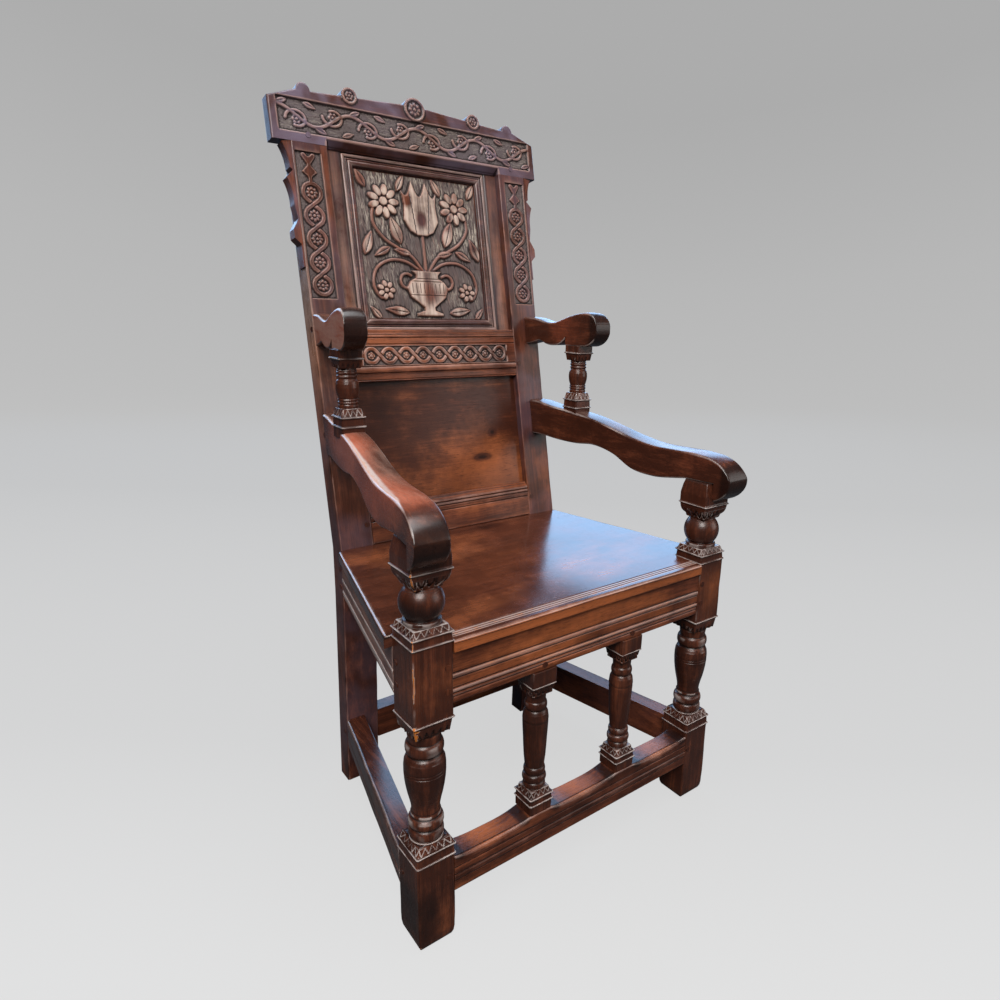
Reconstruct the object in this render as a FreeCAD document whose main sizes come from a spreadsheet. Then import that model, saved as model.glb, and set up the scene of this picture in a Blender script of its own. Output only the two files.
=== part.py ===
import FreeCAD, Part
import math
import os
import Sketcher
from types import SimpleNamespace

# A joined armchair with a carved back, in millimetres. The origin is on the floor, in the middle of
# the chair's box; -Y is the front, +X is on the right as seen from the front, and +Z is up.

# Driving dimensions. Heights are from the floor, and "along" sizes run up the raked back from the seat.
sizes = {
    # Whole chair
    "front_width": 600.0,
    "back_width": 464.0,
    "seat_depth": 395.0,
    "seat_top": 470.0,
    "back_length": 676.5,
    "rake_angle": 10.8,
    "foot_splay": 18.0,
    # Joints
    "tenon_length": 26.0,
    "tenon_thickness": 11.0,
    "tenon_shoulder": 9.0,
    "joint_play": 0.2,
    "peg_diameter": 9.0,
    "peg_length": 34.0,
    "peg_edge": 8.5,
    "peg_play": 0.05,
    "peg_proud": 0.8,
    # Front posts
    "post_side": 58.0,
    "foot_wear": 12.0,
    "foot_block_rise": 25.0,
    "rail_block_drop": 19.0,
    "rail_block_rise": 12.0,
    "ball_turning_height": 86.0,
    "arm_block_height": 40.0,
    "square_bead_height": 4.5,
    "square_bead_proud": 1.2,
    # Rear stiles
    "stile_width": 61.0,
    "stile_depth": 36.0,
    "stile_foot_wear": 8.0,
    "strip_width": 44.0,
    "strip_length": 237.0,
    "strip_top_margin": 13.5,
    "strip_sink": 2.5,
    "strip_inner_margin": 13.0,
    # Crest rail and the wings under it
    "crest_width": 522.0,
    "crest_height": 90.5,
    "crest_depth": 24.0,
    "band_margin": 13.0,
    "band_low": 15.5,
    "band_height": 53.0,
    "band_sink": 2.0,
    "crest_chamfer": 12.0,
    "roundel_radius": 14.0,
    "roundel_spacing": 245.0,
    "centre_roundel_radius": 20.5,
    "roundel_proud": 2.0,
    "wing_reach": 15.0,
    "wing_length": 199.5,
    "wing_depth": 22.0,
    # Back rails and panels
    "back_rail_depth": 30.0,
    "mid_rail_low": 285.0,
    "mid_rail_width": 91.0,
    "guilloche_sink": 2.0,
    "guilloche_width": 34.0,
    "guilloche_margin": 20.0,
    "lower_rail_low": 6.0,
    "lower_rail_width": 62.0,
    "panel_sink": 14.0,
    "panel_tongue": 8.0,
    "panel_tongue_reach": 7.0,
    "panel_body": 14.0,
    "field_width": 288.0,
    "field_sink": 6.0,
    "frame_width": 21.0,
    "frame_height": 7.0,
    # Seat board
    "seat_thickness": 17.5,
    "seat_front_overhang": 3.0,
    "seat_side_overhang": 10.6,
    "seat_back_overhang": 5.0,
    "seat_round": 4.0,
    "seat_tongue": 28.0,
    # Seat rails
    "front_rail_height": 76.5,
    "front_rail_depth": 28.0,
    "rail_set_back": 2.0,
    "side_rail_height": 69.5,
    "side_rail_breadth": 25.0,
    "rear_rail_height": 62.0,
    "rear_rail_depth": 24.0,
    # Stretchers
    "stretcher_low": 76.0,
    "stretcher_height": 58.0,
    "stretcher_depth": 38.0,
    "side_stretcher_breadth": 34.0,
    "stretcher_wear": 5.0,
    "rear_stretcher_depth": 30.0,
    "moulding_line": 1.5,
    # Spindles
    "spindle_spacing": 177.0,
    "spindle_set_back": 22.0,
    "spindle_side": 41.0,
    "spindle_block_height": 37.0,
    "drop_block_side": 44.0,
    "drop_block_height": 41.0,
    "dowel_diameter": 16.0,
    "dowel_length": 20.0,
    # Lower arms
    "arm_nose": 29.0,
    "arm_rise": 91.0,
    "lower_arm_front_width": 48.0,
    "lower_arm_back_width": 38.5,
    "lower_arm_overhang": 4.5,
    "lower_arm_back_overhang": 8.0,
    "arm_tenon_inset": 6.0,
    "arm_tenon_width": 20.0,
    "arm_tenon_height": 28.0,
    # Upper arms and their balusters
    "upper_arm_rise": 207.0,
    "upper_arm_reach": 189.0,
    "upper_arm_height": 62.0,
    "upper_arm_width": 34.0,
    "upper_arm_back_width": 29.0,
    "upper_arm_inset": 1.0,
    "baluster_forward": 64.0,
    "baluster_outset": 2.5,
    "baluster_side": 38.0,
    "baluster_plinth_top": 117.0,
    "baluster_plinth_height": 45.0,
    "baluster_bead_drop": 13.0,
    "baluster_bead_spacing": 15.0,
    "baluster_cap_side": 38.0,
    "baluster_cap_height": 27.0,
    "baluster_cap_bead_drop": 13.5,
}

# Outlines, as shares of the sizes that they follow. A third number bulges the side that starts there:
# it is the height of the arc as a share of its chord, to the right of the way that the outline runs.
corner_share = 0.72
quarter_share = 0.2071
leg_turning_shares = [
    (1.3, 0.045, 0), (0.9, 0.05, 0), (0.88, 0.061, 0.22), (0.84, 0.14, 0), (0.87, 0.145, 0.22), (0.84, 0.227, 0),
    (0.81, 0.278, -0.08), (0.72, 0.338, 0), (0.8, 0.4, 0), (0.93, 0.495, 0.08), (0.955, 0.712, 0),
    (0.88, 0.72, 0.24), (0.88, 0.82, 0), (0.84, 0.835, 0), (0.84, 0.905, 0), (1.32, 0.91, 0),
]
ball_turning_shares = [
    (1.34, 0.095, 0), (0.86, 0.1, 0.22), (0.86, 0.175, 0), (0.75, 0.186, 0.184), (0.71, 0.686, 0), (1.32, 0.7, 0),
]
spindle_turning_shares = [
    (0.8, 0.0, 0), (0.78, 0.006, 0.25), (0.76, 0.067, 0), (0.8, 0.07, 0.28), (0.78, 0.148, 0),
    (0.74, 0.152, 0.25), (0.72, 0.227, 0), (0.77, 0.24, 0.04), (0.975, 0.715, 0.12), (0.78, 0.82, 0),
    (0.75, 0.824, 0.28), (0.73, 0.903, 0), (0.71, 0.93, 0), (0.76, 1.0, 0),
]
baluster_turning_shares = [
    (0.82, 0.0, 0), (0.84, 0.12, 0.25), (0.84, 0.185, 0), (0.84, 0.19, 0.25), (0.8, 0.245, 0.094), (0.79, 0.71, 0),
    (0.8, 0.73, 0.25), (0.8, 0.8, 0), (0.8, 0.82, 0.25), (0.8, 0.89, 0), (0.8, 0.91, 0.25), (0.8, 1.0, 0),
]
crest_top_shares = [
    (1.0, 0.735, 0), (0.946, 0.79, 0), (0.812, 0.934, 0.54), (0.728, 0.934, 0), (0.697, 0.934, 0),
]
crest_hump_share = 0.978
roundel_bulge_share = 0.46
crest_middle_shares = [(0.268, 1.01, 0), (0.107, 1.044, 0)]
centre_roundel_shares = (0.98, 0.195, 0.41)
wing_shares = [
    (0.0, 0.0, 0), (0.17, 0.0, 0), (0.14, 0.18, 0), (0.8, 0.23, 0), (0.8, 0.3, 0), (0.14, 0.385, 0),
    (0.4, 0.5, -0.06), (0.87, 0.71, 0), (0.12, 0.77, 0), (0.4, 0.79, -0.06), (1.0, 0.985, 0), (0.0, 1.0, 0),
]
scoop_share = 0.038
peg_height_shares = (0.27, 0.73)
groove_shares = (0.29, 0.47, 0.67)
front_rail_line_shares = (0.13, 0.27, 0.55)
guilloche_share = 0.495
lower_arm_top_shares = [
    (0.0, 0.066), (0.007, 0.154), (0.026, 0.275), (0.05, 0.374), (0.08, 0.44), (0.163, 0.505), (0.257, 0.505),
    (0.375, 0.511), (0.493, 0.593), (0.611, 0.725), (0.729, 0.841), (0.847, 0.912), (0.965, 0.967),
]
lower_arm_nose_shares = [(0.0, 0.066), (0.028, -0.143), (0.057, -0.286)]
lower_arm_nose_low_share = -0.33
lower_arm_under_shares = [
    (0.06, -0.037), (0.195, -0.099), (0.331, -0.044), (0.467, 0.187), (0.603, 0.28), (0.739, 0.242),
    (0.874, 0.249),
]
lower_arm_back_shares = (0.286, 1.02)
lower_arm_tenon_shares = (0.45, 0.8)
upper_arm_top_shares = [
    (0.0, 0.565), (0.02, 0.82), (0.069, 0.976), (0.148, 1.0), (0.307, 0.903), (0.466, 0.774), (0.598, 0.677),
    (0.704, 0.677), (0.836, 0.774),
]
upper_arm_roll_shares = [(0.0, 0.565), (0.09, 0.34), (0.3, 0.145)]
upper_arm_under_shares = [
    (0.01, 0.226), (0.125, 0.06), (0.318, -0.024), (0.49, 0.0), (0.655, 0.097), (0.8, 0.03),
]
upper_arm_back_shares = (-0.045, 0.79)
upper_arm_tenon_shares = (0.15, 0.6)


class Size:
    # A number with the sheet formula that gives it, so that sums of sizes can be bound to objects
    def __init__(self, value, formula):
        self.value = value
        self.formula = formula

    def __add__(self, other):
        return combined(self, "+", other, self.value + number(other))

    def __sub__(self, other):
        return combined(self, "-", other, self.value - number(other))

    def __mul__(self, other):
        return combined(self, "*", other, self.value * number(other))

    def __truediv__(self, other):
        return combined(self, "/", other, self.value / number(other))

    def __rsub__(self, other):
        return combined(other, "-", self, number(other) - self.value)

    def __neg__(self):
        return combined(0, "-", self, -self.value)

    __radd__ = __add__
    __rmul__ = __mul__


def number(term):
    return term.value if isinstance(term, Size) else term


def formula(term):
    return term.formula if isinstance(term, Size) else "%.9f" % term


def combined(left, sign, right, value):
    return Size(value, "(%s %s %s)" % (formula(left), sign, formula(right)))


def function_of(name, term, value):
    return Size(value, "%s(%s)" % (name, formula(term)))


def root(term):
    return function_of("sqrt", term, math.sqrt(number(term)))


def sine(angle):
    return function_of("sin", angle, math.sin(math.radians(number(angle))))


def cosine(angle):
    return function_of("cos", angle, math.cos(math.radians(number(angle))))


def tangent(angle):
    return function_of("tan", angle, math.tan(math.radians(number(angle))))


doc = FreeCAD.newDocument("Armchair")
sheet = doc.addObject("Spreadsheet::Sheet", "Sizes")
for row, (alias, value) in enumerate(sizes.items(), 1):
    sheet.set("A%d" % row, alias)
    sheet.set("B%d" % row, str(value))
    sheet.setAlias("B%d" % row, alias)
doc.recompute()
s = SimpleNamespace(**{alias: Size(value, "Sizes." + alias) for alias, value in sizes.items()})


# Objects whose sizes and places are bound to the sheet

def bind(thing, path, term):
    thing.setExpression(path, formula(term))


def place(thing, position, raked=False):
    # raked: the position is (x, along the back, out from its face) instead of (x, y, z)
    if raked:
        thing.Placement = FreeCAD.Placement(FreeCAD.Vector(), FreeCAD.Rotation(FreeCAD.Vector(1, 0, 0), 45))
        bind(thing, "Placement.Rotation.Angle", 90 - s.rake_angle)
        position = on_back(*position)
    for axis, term in zip("xyz", position):
        bind(thing, "Placement.Base." + axis, term)


def on_back(x, along, out):
    # a point of the raked back: out is measured square to the stiles' front faces, towards the front
    y = stile_front + along * sine(s.rake_angle) - out * cosine(s.rake_angle)
    z = s.seat_top + along * cosine(s.rake_angle) + out * sine(s.rake_angle)
    return x, y, z


def block(name, x, y, z, raked=False):
    box = doc.addObject("Part::Box", name)
    for path, (low, high) in zip(("Length", "Width", "Height"), (x, y, z)):
        bind(box, path, high - low)
    place(box, (x[0], y[0], z[0]), raked)
    return box


def grown(name, x, y, z, play, raked=False):
    return block(name, *((low - play, high + play) for low, high in (x, y, z)), raked)


def fused(name, *shapes):
    joint = doc.addObject("Part::MultiFuse", name)
    joint.Shapes = list(shapes)
    joint.Refine = True
    return joint


def cut(name, base, *tools):
    result = doc.addObject("Part::Cut", name)
    result.Base = base
    result.Tool = tools[0] if len(tools) == 1 else fused(name + "_tools", *tools)
    result.Refine = True
    return result


def common(name, base, tool):
    result = doc.addObject("Part::Common", name)
    result.Base = base
    result.Tool = tool
    return result


def mirrored(name, source):
    result = doc.addObject("Part::Mirroring", name)
    result.Source = source
    result.Normal = FreeCAD.Vector(1, 0, 0)
    return result


def group(name, *things):
    result = doc.addObject("Part::Compound", name)
    result.Links = list(things)
    return result


def side(start, end, bulge):
    a = FreeCAD.Vector(number(start[0]), number(start[1]), 0)
    b = FreeCAD.Vector(number(end[0]), number(end[1]), 0)
    if not bulge:
        return Part.LineSegment(a, b)
    chord = b - a
    middle = (a + b) * 0.5 + FreeCAD.Vector(chord.y, -chord.x, 0) * bulge
    return Part.Arc(a, middle, b)


def outline(body, name, role, points):
    # A closed sketch whose corners are held by their distances from the origin and its arcs by their radii
    sketch = body.newObject("Sketcher::SketchObject", name)
    plane = [feature for feature in body.Origin.OriginFeatures if feature.Role == role][0]
    sketch.AttachmentSupport = [(plane, "")]
    sketch.MapMode = "FlatFace"
    rows = [(*point, 0)[:3] for point in points]
    following = rows[1:] + rows[:1]
    for start, end in zip(rows, following):
        sketch.addGeometry(side(start, end, start[2]), False)
    # An arc that turns clockwise is stored the other way round, so its ends are found by place
    ends = []
    for index, start in enumerate(rows):
        corner = FreeCAD.Vector(number(start[0]), number(start[1]), 0)
        forward = (sketch.getPoint(index, 1) - corner).Length < (sketch.getPoint(index, 2) - corner).Length
        ends.append((1, 2) if forward else (2, 1))
    for index, (start, end) in enumerate(zip(rows, following)):
        next_index = (index + 1) % len(rows)
        join = (index, ends[index][1], next_index, ends[next_index][0])
        sketch.addConstraint(Sketcher.Constraint("Coincident", *join))
    for index, (start, end) in enumerate(zip(rows, following)):
        for kind, term in (("DistanceX", start[0]), ("DistanceY", start[1])):
            held = sketch.addConstraint(Sketcher.Constraint(kind, index, ends[index][0], float(number(term))))
            if isinstance(term, Size):
                bind(sketch, "Constraints[%d]" % held, term)
        if start[2]:
            bulge = abs(start[2])
            run = end[0] - start[0]
            rise = end[1] - start[1]
            radius = root(run * run + rise * rise) * (0.25 + bulge * bulge) / (2 * bulge)
            held = sketch.addConstraint(Sketcher.Constraint("Radius", index, number(radius)))
            bind(sketch, "Constraints[%d]" % held, radius)
    return sketch


def padded(name, role, points, length, position, raked=False):
    # an outline pushed out by a length, as a body
    body = doc.addObject("PartDesign::Body", name)
    sketch = outline(body, name + "_outline", role, points)
    pad = body.newObject("PartDesign::Pad", name + "_pad")
    pad.Profile = sketch
    bind(pad, "Length", length)
    place(body, position, raked)
    return body


def turned(name, points, x, y):
    # an outline of (radius, height) turned about an upright axis, as a body
    body = doc.addObject("PartDesign::Body", name)
    sketch = outline(body, name + "_outline", "XZ_Plane", points)
    spin = body.newObject("PartDesign::Revolution", name + "_turned")
    spin.Profile = sketch
    spin.ReferenceAxis = (sketch, ["V_Axis"])
    spin.Angle = 360
    place(body, (x, y, 0))
    return body


def scaled(shares, width, low, height):
    return [(width * share[0], low + height * share[1], *share[2:]) for share in shares]


# Places that several pieces share
half_front = s.front_width / 2
half_back = s.back_width / 2
crest_peak = s.crest_height + s.centre_roundel_radius
crest_top_run = (s.back_length + crest_peak) * sine(s.rake_angle)
back_reach = s.seat_depth + crest_top_run + s.crest_depth * cosine(s.rake_angle)
front = (s.arm_nose - back_reach) / 2
stile_front = front + s.seat_depth
post_back = front + s.post_side
post_inner = half_front - s.post_side
stile_inner = half_back - s.stile_width
seat_under = s.seat_top - s.seat_thickness
foot_block_top = s.stretcher_low + s.stretcher_height + s.foot_block_rise
leg_turning_top = seat_under - s.front_rail_height - s.rail_block_drop
rail_block_top = s.seat_top + s.rail_block_rise
ball_turning_top = rail_block_top + s.ball_turning_height
arm_seat = ball_turning_top + s.arm_block_height
knee = seat_under - s.side_rail_height
foot_front = stile_front + s.foot_splay
mid_rail_top = s.mid_rail_low + s.mid_rail_width
lower_rail_top = s.lower_rail_low + s.lower_rail_width
upper_arm_seat = arm_seat + s.upper_arm_rise
panel_reach = stile_inner + s.panel_tongue_reach
panel_tongue_out = (-s.panel_sink - s.panel_tongue, -s.panel_sink)


def face_at(height):
    # how far back the raked front face of the stiles is at a height above the seat
    return stile_front + (height - s.seat_top) * tangent(s.rake_angle)


def splay_at(height):
    return stile_front + s.foot_splay * (knee - height) / knee


# Plans of the arms: a distance back, then the inner and the outer x there

lower_outer = (half_front + s.lower_arm_overhang, half_back + s.lower_arm_back_overhang)
lower_near = (front, lower_outer[0] - s.lower_arm_front_width, lower_outer[0])
lower_far = (stile_front, lower_outer[1] - s.lower_arm_back_width, lower_outer[1])
baluster_y = stile_front - s.baluster_forward
baluster_run = 1 - s.baluster_forward / s.seat_depth
baluster_middle = (lower_near[1] + lower_near[2]) / 2
baluster_middle = baluster_middle + ((lower_far[1] + lower_far[2]) / 2 - baluster_middle) * baluster_run
baluster_x = baluster_middle + s.baluster_outset
baluster_base = arm_seat + s.baluster_plinth_top - s.baluster_plinth_height - s.arm_tenon_inset
upper_near = (baluster_y, baluster_x - s.upper_arm_width / 2, baluster_x + s.upper_arm_width / 2)
upper_far_y = face_at(upper_arm_seat)
upper_far_outer = half_back - s.upper_arm_inset
upper_far = (upper_far_y, upper_far_outer - s.upper_arm_back_width, upper_far_outer)

# Tenons and their mortises come from the same boxes; a mortise is larger by the play all round

front_rail_y = (front + s.rail_set_back, front + s.rail_set_back + s.front_rail_depth)
front_rail_z = (seat_under - s.front_rail_height, seat_under)
stretcher_y = (front, front + s.stretcher_depth)
stretcher_z = (s.stretcher_low, s.stretcher_low + s.stretcher_height)
side_rail_z = (knee, seat_under)
rear_rail_y = (stile_front + s.rail_set_back, stile_front + s.rail_set_back + s.rear_rail_depth)
rear_rail_z = (seat_under - s.rear_rail_height, seat_under)
rear_stretcher_front = splay_at(stretcher_z[1]) + s.rail_set_back
rear_stretcher_y = (rear_stretcher_front, rear_stretcher_front + s.rear_stretcher_depth)
mid_rail_along = (s.mid_rail_low, mid_rail_top)
lower_rail_along = (s.lower_rail_low, lower_rail_top)
back_rail_out = (-s.back_rail_depth, 0)


def band(limits):
    # a rail's height less a shoulder at each edge
    return limits[0] + s.tenon_shoulder, limits[1] - s.tenon_shoulder * 1.5


def core(limits):
    # the middle of a rail's thickness
    middle = (limits[0] + limits[1]) / 2
    return middle - s.tenon_thickness / 2, middle + s.tenon_thickness / 2


def across(reach, thickness, height):
    # a tenon at both ends of a rail between two uprights, as one box
    return (-reach - s.tenon_length, reach + s.tenon_length), core(thickness), band(height)


straight_tenons = {
    "front_seat_rail": (across(post_inner, front_rail_y, front_rail_z), False),
    "front_stretcher": (across(post_inner, stretcher_y, stretcher_z), False),
    "rear_seat_rail": (across(stile_inner, rear_rail_y, rear_rail_z), False),
    "rear_stretcher": (across(stile_inner, rear_stretcher_y, stretcher_z), False),
}
# On the raked back a box is (x, along, out), so a rail's height is the second of the three
for rail, along in (("mid_rail", mid_rail_along), ("lower_back_rail", lower_rail_along)):
    reach = (-stile_inner - s.tenon_length, stile_inner + s.tenon_length)
    straight_tenons[rail] = ((reach, band(along), core(back_rail_out)), True)


def side_tenons(breadth, far, height):
    # the two tenons of a side rail or stretcher, square to the post and to the stile
    front_x = core((half_front - breadth, half_front))
    back_x = core((half_back - breadth, half_back))
    in_post = (front_x, (post_back - s.tenon_length, post_back + s.tenon_shoulder), band(height))
    in_stile = (back_x, (far - s.tenon_shoulder, far + s.tenon_length), band(height))
    return in_post, in_stile


stretcher_far = splay_at(stretcher_z[1])
side_tenon_boxes = {
    "side_seat_rail": side_tenons(s.side_rail_breadth, stile_front, side_rail_z),
    "side_stretcher": side_tenons(s.side_stretcher_breadth, stretcher_far, stretcher_z),
}

post_middle_x = half_front - s.post_side / 2
post_middle_y = front + s.post_side / 2
arm_tenon_x = (half_back - s.arm_tenon_inset - s.arm_tenon_width, half_back - s.arm_tenon_inset)


def arm_tenon(seat, rise, shares):
    low = seat + rise * shares[0]
    high = seat + rise * shares[1]
    return arm_tenon_x, (face_at(low) - s.tenon_shoulder, face_at(low) + s.tenon_length), (low, high)


arm_tenon_boxes = {
    "lower_arm": arm_tenon(arm_seat, s.arm_rise, lower_arm_tenon_shares),
    "upper_arm": arm_tenon(upper_arm_seat, s.upper_arm_height, upper_arm_tenon_shares),
}
post_tenon_box = (
    (post_middle_x - s.arm_tenon_width / 2, post_middle_x + s.arm_tenon_width / 2),
    (post_middle_y - s.arm_tenon_width / 2, post_middle_y + s.arm_tenon_width / 2),
    (arm_seat - s.tenon_shoulder, arm_seat + s.arm_tenon_height),
)
stile_tenon_box = (
    (stile_inner + s.tenon_shoulder, half_back - s.tenon_shoulder),
    (s.back_length - s.tenon_shoulder, s.back_length + s.tenon_length),
    core((-s.crest_depth, 0)),
)



# Pegs of the right-hand side. Each row is a place on the surface and the way that the peg runs in from it;
# "out" is square to the raked back, with a place of (x, along, out)

def share_of(limits, share):
    return limits[0] + (limits[1] - limits[0]) * share


peg_x = post_inner + s.peg_edge
stile_peg_x = stile_inner + s.peg_edge
side_peg_y = post_back - s.peg_edge
stretcher_peg_z = share_of(stretcher_z, 0.5)
arm_peg_z = share_of((arm_seat, arm_seat + s.arm_rise), sum(lower_arm_tenon_shares) / 2)
upper_arm_peg_z = upper_arm_seat + s.upper_arm_height * (sum(upper_arm_tenon_shares) / 2)
spindle_x = s.spindle_spacing / 2
spindle_y = front + s.spindle_set_back
peg_places = {
    "post_pegs": [
        ("y", peg_x, front, stretcher_peg_z),
        ("x", half_front, side_peg_y, stretcher_peg_z),
    ],
    "stile_pegs": [
        ("x", half_back, stretcher_far + s.peg_edge + s.peg_diameter / 2, stretcher_peg_z),
        ("out", stile_peg_x, share_of(lower_rail_along, 0.5), 0),
    ],
    "crest_pegs": [("out", half_back - s.stile_width / 2, s.back_length + s.tenon_length / 2, 0)],
    "arm_pegs": [
        ("x", half_back, face_at(arm_peg_z) + s.peg_edge, arm_peg_z),
        ("x", half_back, face_at(upper_arm_peg_z) + s.peg_edge, upper_arm_peg_z),
    ],
    "spindle_pegs": [("y", spindle_x, front + s.rail_set_back, front_rail_z[0] + s.peg_edge)],
}
for share in peg_height_shares:
    peg_places["post_pegs"] += [
        ("y", peg_x, front, share_of(front_rail_z, share)),
        ("x", half_front, side_peg_y, share_of(side_rail_z, share)),
    ]
    peg_places["stile_pegs"] += [
        ("x", half_back, stile_front + s.peg_edge, share_of(side_rail_z, share)),
        ("out", stile_peg_x, share_of(mid_rail_along, share), 0),
    ]


def peg(name, diameter, way, x, y, z):
    # a cylinder from its inner end to a little proud of the surface at (x, y, z)
    rod = doc.addObject("Part::Cylinder", name)
    bind(rod, "Radius", diameter / 2)
    bind(rod, "Height", s.peg_length + s.peg_proud)
    if way == "out":
        place(rod, (x, y, z - s.peg_length), True)
        return rod
    if way == "x":
        turn = FreeCAD.Rotation(FreeCAD.Vector(0, 1, 0), 90)
        position = (x - s.peg_length, y, z)
    else:
        turn = FreeCAD.Rotation(FreeCAD.Vector(1, 0, 0), 90)
        position = (x, y + s.peg_length, z)
    rod.Placement = FreeCAD.Placement(FreeCAD.Vector(), turn)
    place(rod, position)
    return rod


def make_pegs():
    # each group of pegs for both sides, and the holes that they stand in
    holes = []
    for kind, places in peg_places.items():
        pegs = [peg("%s_%d" % (kind, index), s.peg_diameter, *spot) for index, spot in enumerate(places)]
        right = group(kind + "_right", *pegs)
        keep(kind, group(kind, right, mirrored(kind + "_left", right)))
        for index, spot in enumerate(places):
            holes.append(peg("%s_hole_%d" % (kind, index), s.peg_diameter + s.peg_play * 2, *spot))
    right_holes = group("peg_holes_right", *holes)
    return group("peg_holes", right_holes, mirrored("peg_holes_left", right_holes))


parts = {}


def keep(label, thing):
    thing.Label = label
    parts[label] = thing


def keep_pair(label, thing):
    # the right-hand piece and its mirror image
    keep(label + "_right", thing)
    keep(label + "_left", mirrored(label + "_mirror", thing))


peg_holes = make_pegs()


def square_bead(name, height, middle_x, middle_y, width):
    # a bead that runs round a square post, centred on a height
    reach = width / 2 + s.square_bead_proud
    return block(
        name,
        (middle_x - reach, middle_x + reach),
        (middle_y - reach, middle_y + reach),
        (height - s.square_bead_height / 2, height + s.square_bead_height / 2),
    )


# Front posts: a square blank, turned between its blocks

def make_front_posts():
    blank = block("post_blank", (post_inner, half_front), (front, post_back), (0, arm_seat))
    corner = s.post_side * corner_share
    half = s.post_side / 2
    points = [(0, 0), (corner - s.foot_wear, 0, quarter_share), (corner, s.foot_wear)]
    points.append((corner, foot_block_top))
    points += scaled(leg_turning_shares, half, foot_block_top, leg_turning_top - foot_block_top)
    points += [(corner, leg_turning_top), (corner, rail_block_top)]
    points += scaled(ball_turning_shares, half, rail_block_top, s.ball_turning_height)
    points += [(corner, ball_turning_top), (corner, arm_seat), (0, arm_seat)]
    profile = turned("post_profile", points, post_middle_x, post_middle_y)
    half_bead = s.square_bead_height / 2
    bead_heights = (
        foot_block_top - half_bead,
        leg_turning_top + half_bead,
        rail_block_top - half_bead,
        ball_turning_top + half_bead,
    )
    beads = [
        square_bead("post_bead_%d" % index, height, post_middle_x, post_middle_y, s.post_side)
        for index, height in enumerate(bead_heights)
    ]
    shaft = common("post_shaft", blank, profile)
    body = fused("post_solid", shaft, *beads, block("post_tenon", *post_tenon_box))
    mortises = [
        grown("post_front_rail_mortise", *straight_tenons["front_seat_rail"][0], s.joint_play),
        grown("post_stretcher_mortise", *straight_tenons["front_stretcher"][0], s.joint_play),
        grown("post_side_rail_mortise", *side_tenon_boxes["side_seat_rail"][0], s.joint_play),
        grown("post_side_stretcher_mortise", *side_tenon_boxes["side_stretcher"][0], s.joint_play),
    ]
    keep_pair("front_post", cut("front_post", body, *mortises, peg_holes))


# Rear stiles: straight at the seat, raked above it and splayed below

def stile_outline():
    depth = s.stile_depth
    wear = s.stile_foot_wear
    top_y, top_z = on_back(0, s.back_length, 0)[1:]
    back_y, back_z = on_back(0, s.back_length, -depth)[1:]
    return [
        (foot_front + wear, 0),
        (foot_front + depth - wear, 0, quarter_share),
        (foot_front + depth, wear),
        (stile_front + depth, knee),
        (stile_front + depth, s.seat_top - depth * tangent(s.rake_angle / 2)),
        (back_y, back_z),
        (top_y, top_z),
        (stile_front, s.seat_top),
        (stile_front, knee),
        (foot_front, wear, quarter_share),
    ]


def make_rear_stiles():
    plain = padded("stile_plain", "YZ_Plane", stile_outline(), s.stile_width, (stile_inner, 0, 0))
    body = fused("stile_solid", plain, block("stile_tenon", *stile_tenon_box, True))
    strip_x = stile_inner + s.strip_inner_margin
    strip_high = s.back_length - s.strip_top_margin
    groove_x = (stile_inner - s.joint_play, stile_inner + s.panel_tongue_reach)
    groove_along = (lower_rail_top - s.panel_tongue_reach, s.back_length)
    tools = [
        grown("stile_" + rail + "_mortise", *box, s.joint_play, raked)
        for rail, (box, raked) in straight_tenons.items()
        if rail not in ("front_seat_rail", "front_stretcher")
    ]
    tools += [
        grown("stile_" + rail + "_mortise", *boxes[1], s.joint_play)
        for rail, boxes in side_tenon_boxes.items()
    ]
    tools += [grown("stile_" + arm + "_mortise", *box, s.joint_play) for arm, box in arm_tenon_boxes.items()]
    tools.append(grown("stile_panel_groove", groove_x, groove_along, panel_tongue_out, s.joint_play, True))
    tools.append(
        block(
            "stile_strip",
            (strip_x, strip_x + s.strip_width),
            (strip_high - s.strip_length, strip_high),
            (-s.strip_sink, s.strip_sink),
            True,
        )
    )
    keep_pair("rear_stile", cut("rear_stile", body, *tools, peg_holes))
    return plain


# Crest rail, its roundels and the wings under its ends

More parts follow.
